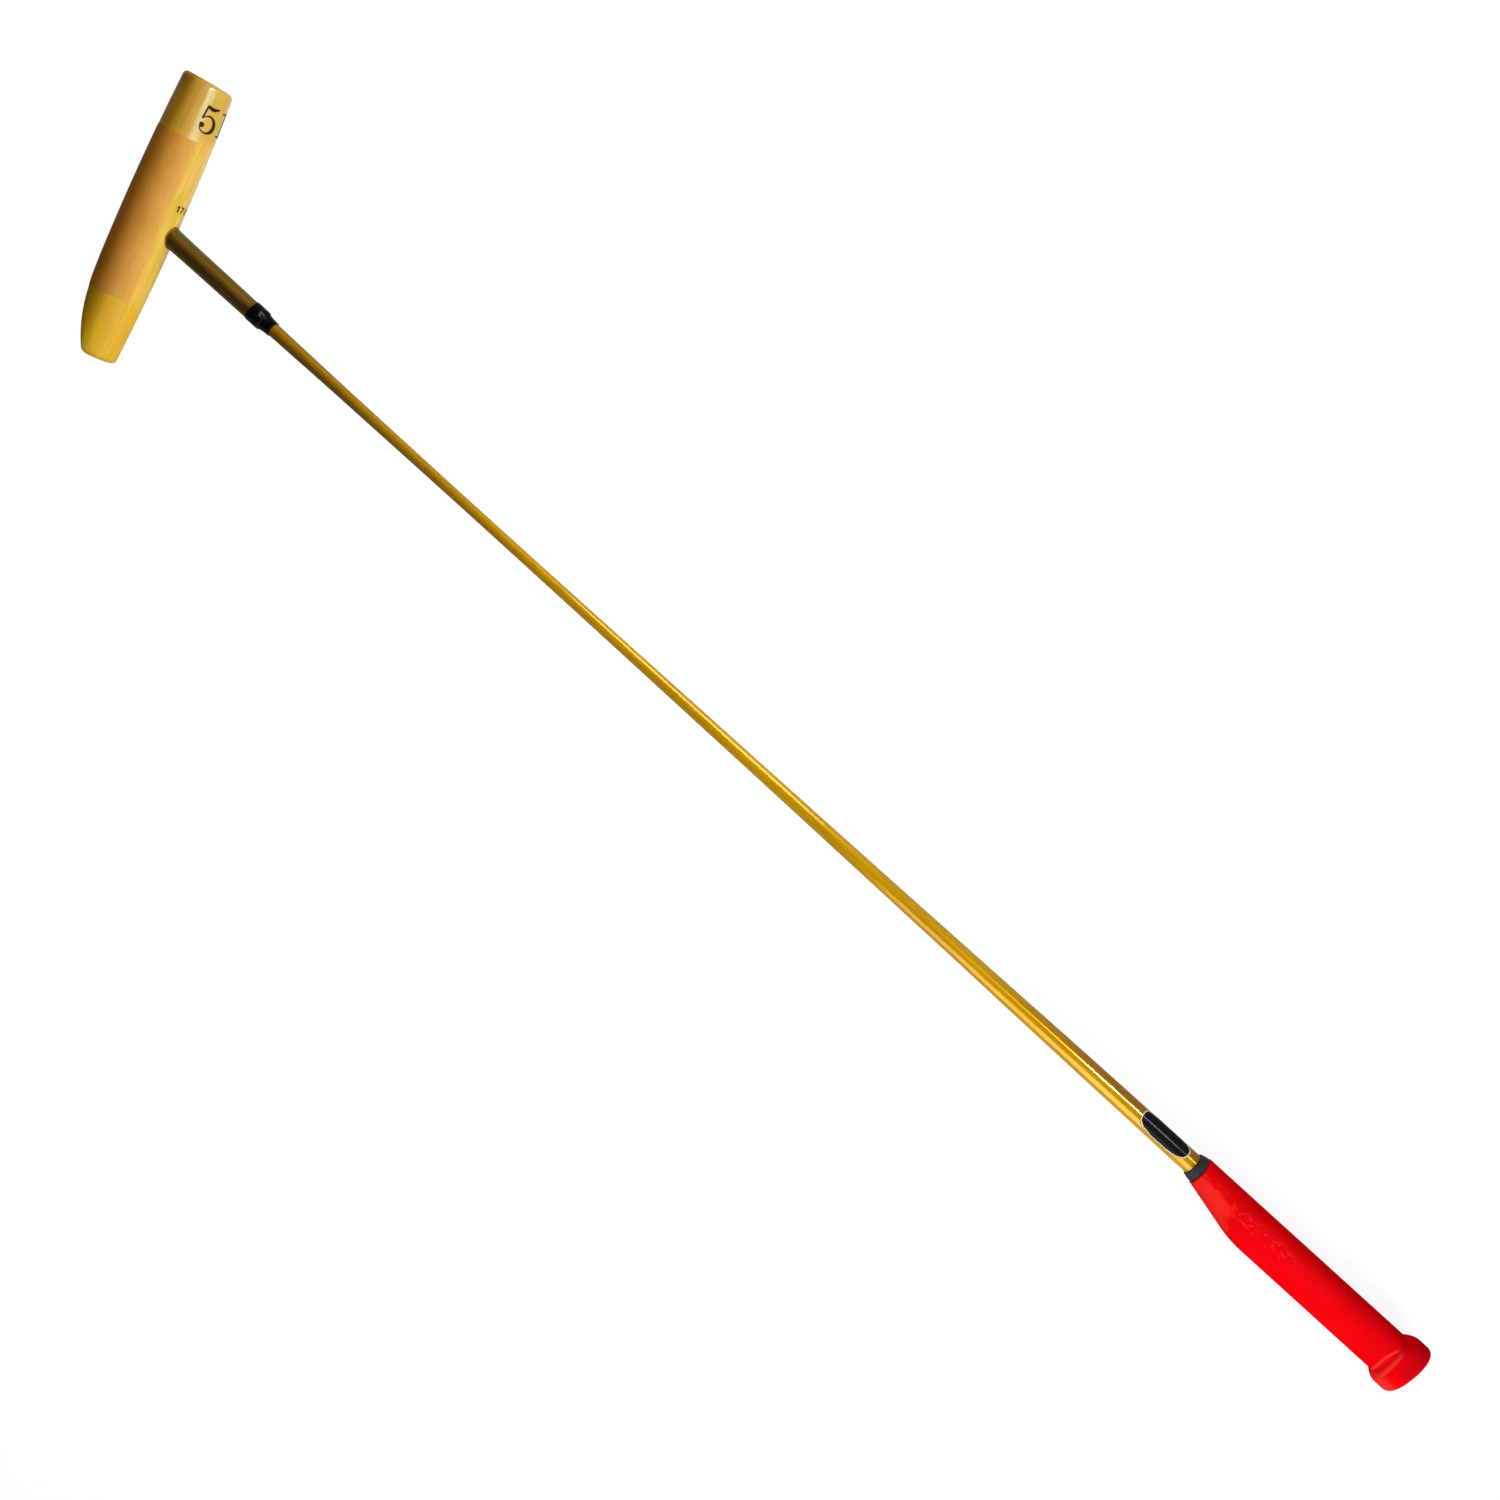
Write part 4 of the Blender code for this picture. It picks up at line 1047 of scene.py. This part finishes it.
def make_floor():
    """White paper that glows where it is seen and still takes the shadow."""
    half = 6.0
    points = [(-half, -half, 0.0), (half, -half, 0.0), (half, half, 0.0), (-half, half, 0.0)]
    place = Matrix.Translation((0.0, 0.0, -0.2 * MM))
    floor = finish_mesh("floor", points, [(0, 1, 2, 3)], place, 30.0)
    material = bpy.data.materials.new("floor_paper")
    material.use_nodes = True
    tree = material.node_tree
    shader = tree.nodes["Principled BSDF"]
    shader.inputs["Roughness"].default_value = 0.9
    shader.inputs["Specular IOR Level"].default_value = 0.0
    shader.inputs["Emission Color"].default_value = (1.0, 1.0, 1.0, 1.0)
    seen = background_rays(tree)
    paint(tree, shader, blend(tree, seen, (0.18, 0.18, 0.18), (0.2, 0.2, 0.2)))
    spot = add(tree, "ShaderNodeTexCoord").outputs["Object"]
    distance = add(tree, "ShaderNodeVectorMath", {0: spot}, operation="LENGTH").outputs["Value"]
    along = coordinates(tree, spot)[0]
    level = calculate(tree, "ADD", limits(tree, distance, 0.9, 3.5, 0.88, 1.0),
                      limits(tree, along, 0.3, -0.5, 0.0, 0.08))
    tree.links.new(product(tree, seen, level), shader.inputs["Emission Strength"])
    floor.data.materials.append(material)


def make_light(name, place, target, width, height, power, diffuse=True, glossy=True, tint=None):
    """An area light at a place in the mallet's coordinates, aimed at a target."""
    data = bpy.data.lights.new(name, "AREA")
    data.shape = "RECTANGLE"
    data.size = width
    data.size_y = height
    data.energy = power
    if tint:
        data.color = tint
    item = bpy.data.objects.new(name, data)
    start = MALLET @ Vector(place)
    back = (start - MALLET @ Vector(target)).normalized()
    side = (MALLET.to_3x3() @ Vector((1.0, 0.0, 0.0))).cross(back).normalized()
    along = back.cross(-side).normalized()
    turn = Matrix((along, back.cross(along), back)).transposed().to_4x4()
    item.matrix_world = Matrix.Translation(start) @ turn
    item.visible_camera = False
    item.visible_diffuse = diffuse
    item.visible_glossy = glossy
    bpy.context.scene.collection.objects.link(item)


def make_world():
    """A white backdrop for the rays that see it, and a faint fill light."""
    world = bpy.data.worlds.new("studio")
    world.use_nodes = True
    bpy.context.scene.world = world
    tree = world.node_tree
    background = tree.nodes["Background"]
    background.inputs["Color"].default_value = (1.0, 1.0, 1.0, 1.0)
    direction = add(tree, "ShaderNodeTexCoord").outputs["Generated"]
    height = coordinates(tree, direction)[2]
    backdrop = limits(tree, height, 0.6, 0.4, 0.06, 1.0)
    strength = add(tree, "ShaderNodeMapRange", {
        "Value": background_rays(tree), "To Min": 0.03, "To Max": backdrop})
    tree.links.new(strength.outputs[0], background.inputs["Strength"])


def make_camera():
    """The photograph's camera: over the shaft, rolled, tilted and panned."""
    right = Vector((math.cos(CAMERA_ROLL), math.sin(CAMERA_ROLL), 0.0))
    up = Vector((-math.sin(CAMERA_ROLL), math.cos(CAMERA_ROLL), 0.0))
    back = Vector((0.0, 0.0, 1.0))
    leaned = back * math.cos(CAMERA_TILT) + up * math.sin(CAMERA_TILT)
    up = up * math.cos(CAMERA_TILT) - back * math.sin(CAMERA_TILT)
    back = leaned * math.cos(CAMERA_PAN) + right * math.sin(CAMERA_PAN)
    right = right * math.cos(CAMERA_PAN) - leaned * math.sin(CAMERA_PAN)
    data = bpy.data.cameras.new("camera")
    data.sensor_width = CAMERA_SENSOR
    data.lens = FOCAL_PIXELS / PHOTO_PIXELS * CAMERA_SENSOR
    camera = bpy.data.objects.new("camera", data)
    axes = Matrix((right, up, back)).transposed().to_4x4()
    camera.matrix_world = MALLET @ Matrix.Translation(CAMERA_PLACE) @ axes
    bpy.context.scene.collection.objects.link(camera)
    bpy.context.scene.camera = camera


make_floor()
make_world()
make_light("end_softbox", (2.90, -0.40, 0.90), (0.0, 0.0, 0.0), 0.8, 0.8, 33.5)
make_light("far_softbox", (5.0, 0.30, 1.44), (0.0, 0.0, 0.0), 1.5, 1.5, 35.0)
make_light("right_softbox", (1.08, -0.57, 0.50), (1.05, 0.0, 0.0), 0.50, 0.75, 3.8, glossy=False)
make_light("left_softbox", (0.53, 0.69, 0.37), (0.53, 0.0, 0.0), 0.36, 0.49, 3.3, glossy=False)
make_light("head_softbox", (-0.20, 1.20, 0.66), (-0.20, 0.0, 0.0), 0.9, 0.9, 9.0, glossy=False)
make_light("right_gleam", (1.09, -0.55, 0.485), (1.05, 0.0, 0.0), 0.58, 0.70, 6.4, diffuse=False)
make_light("core_gleam", (1.165, -0.53, 0.465), (1.05, 0.0, 0.0), 0.26, 0.55, 1.4, diffuse=False)
make_light("left_gleam", (0.51, 0.66, 0.355), (0.51, 0.0, 0.0), 0.38, 0.45, 5.8, diffuse=False)
make_light("line_gleam", (1.612, 1.48, 2.08), (1.612, 0.0, 0.0), 0.305, 0.52, 53.0, diffuse=False)
make_light("toe_gleam", (4.08, 1.79, 3.66), (0.0, 0.085, 0.0), 3.6, 2.1, 190.0, diffuse=False,
           tint=(0.52, 0.84, 1.0))
make_camera()
bpy.context.scene.view_settings.view_transform = "Standard"
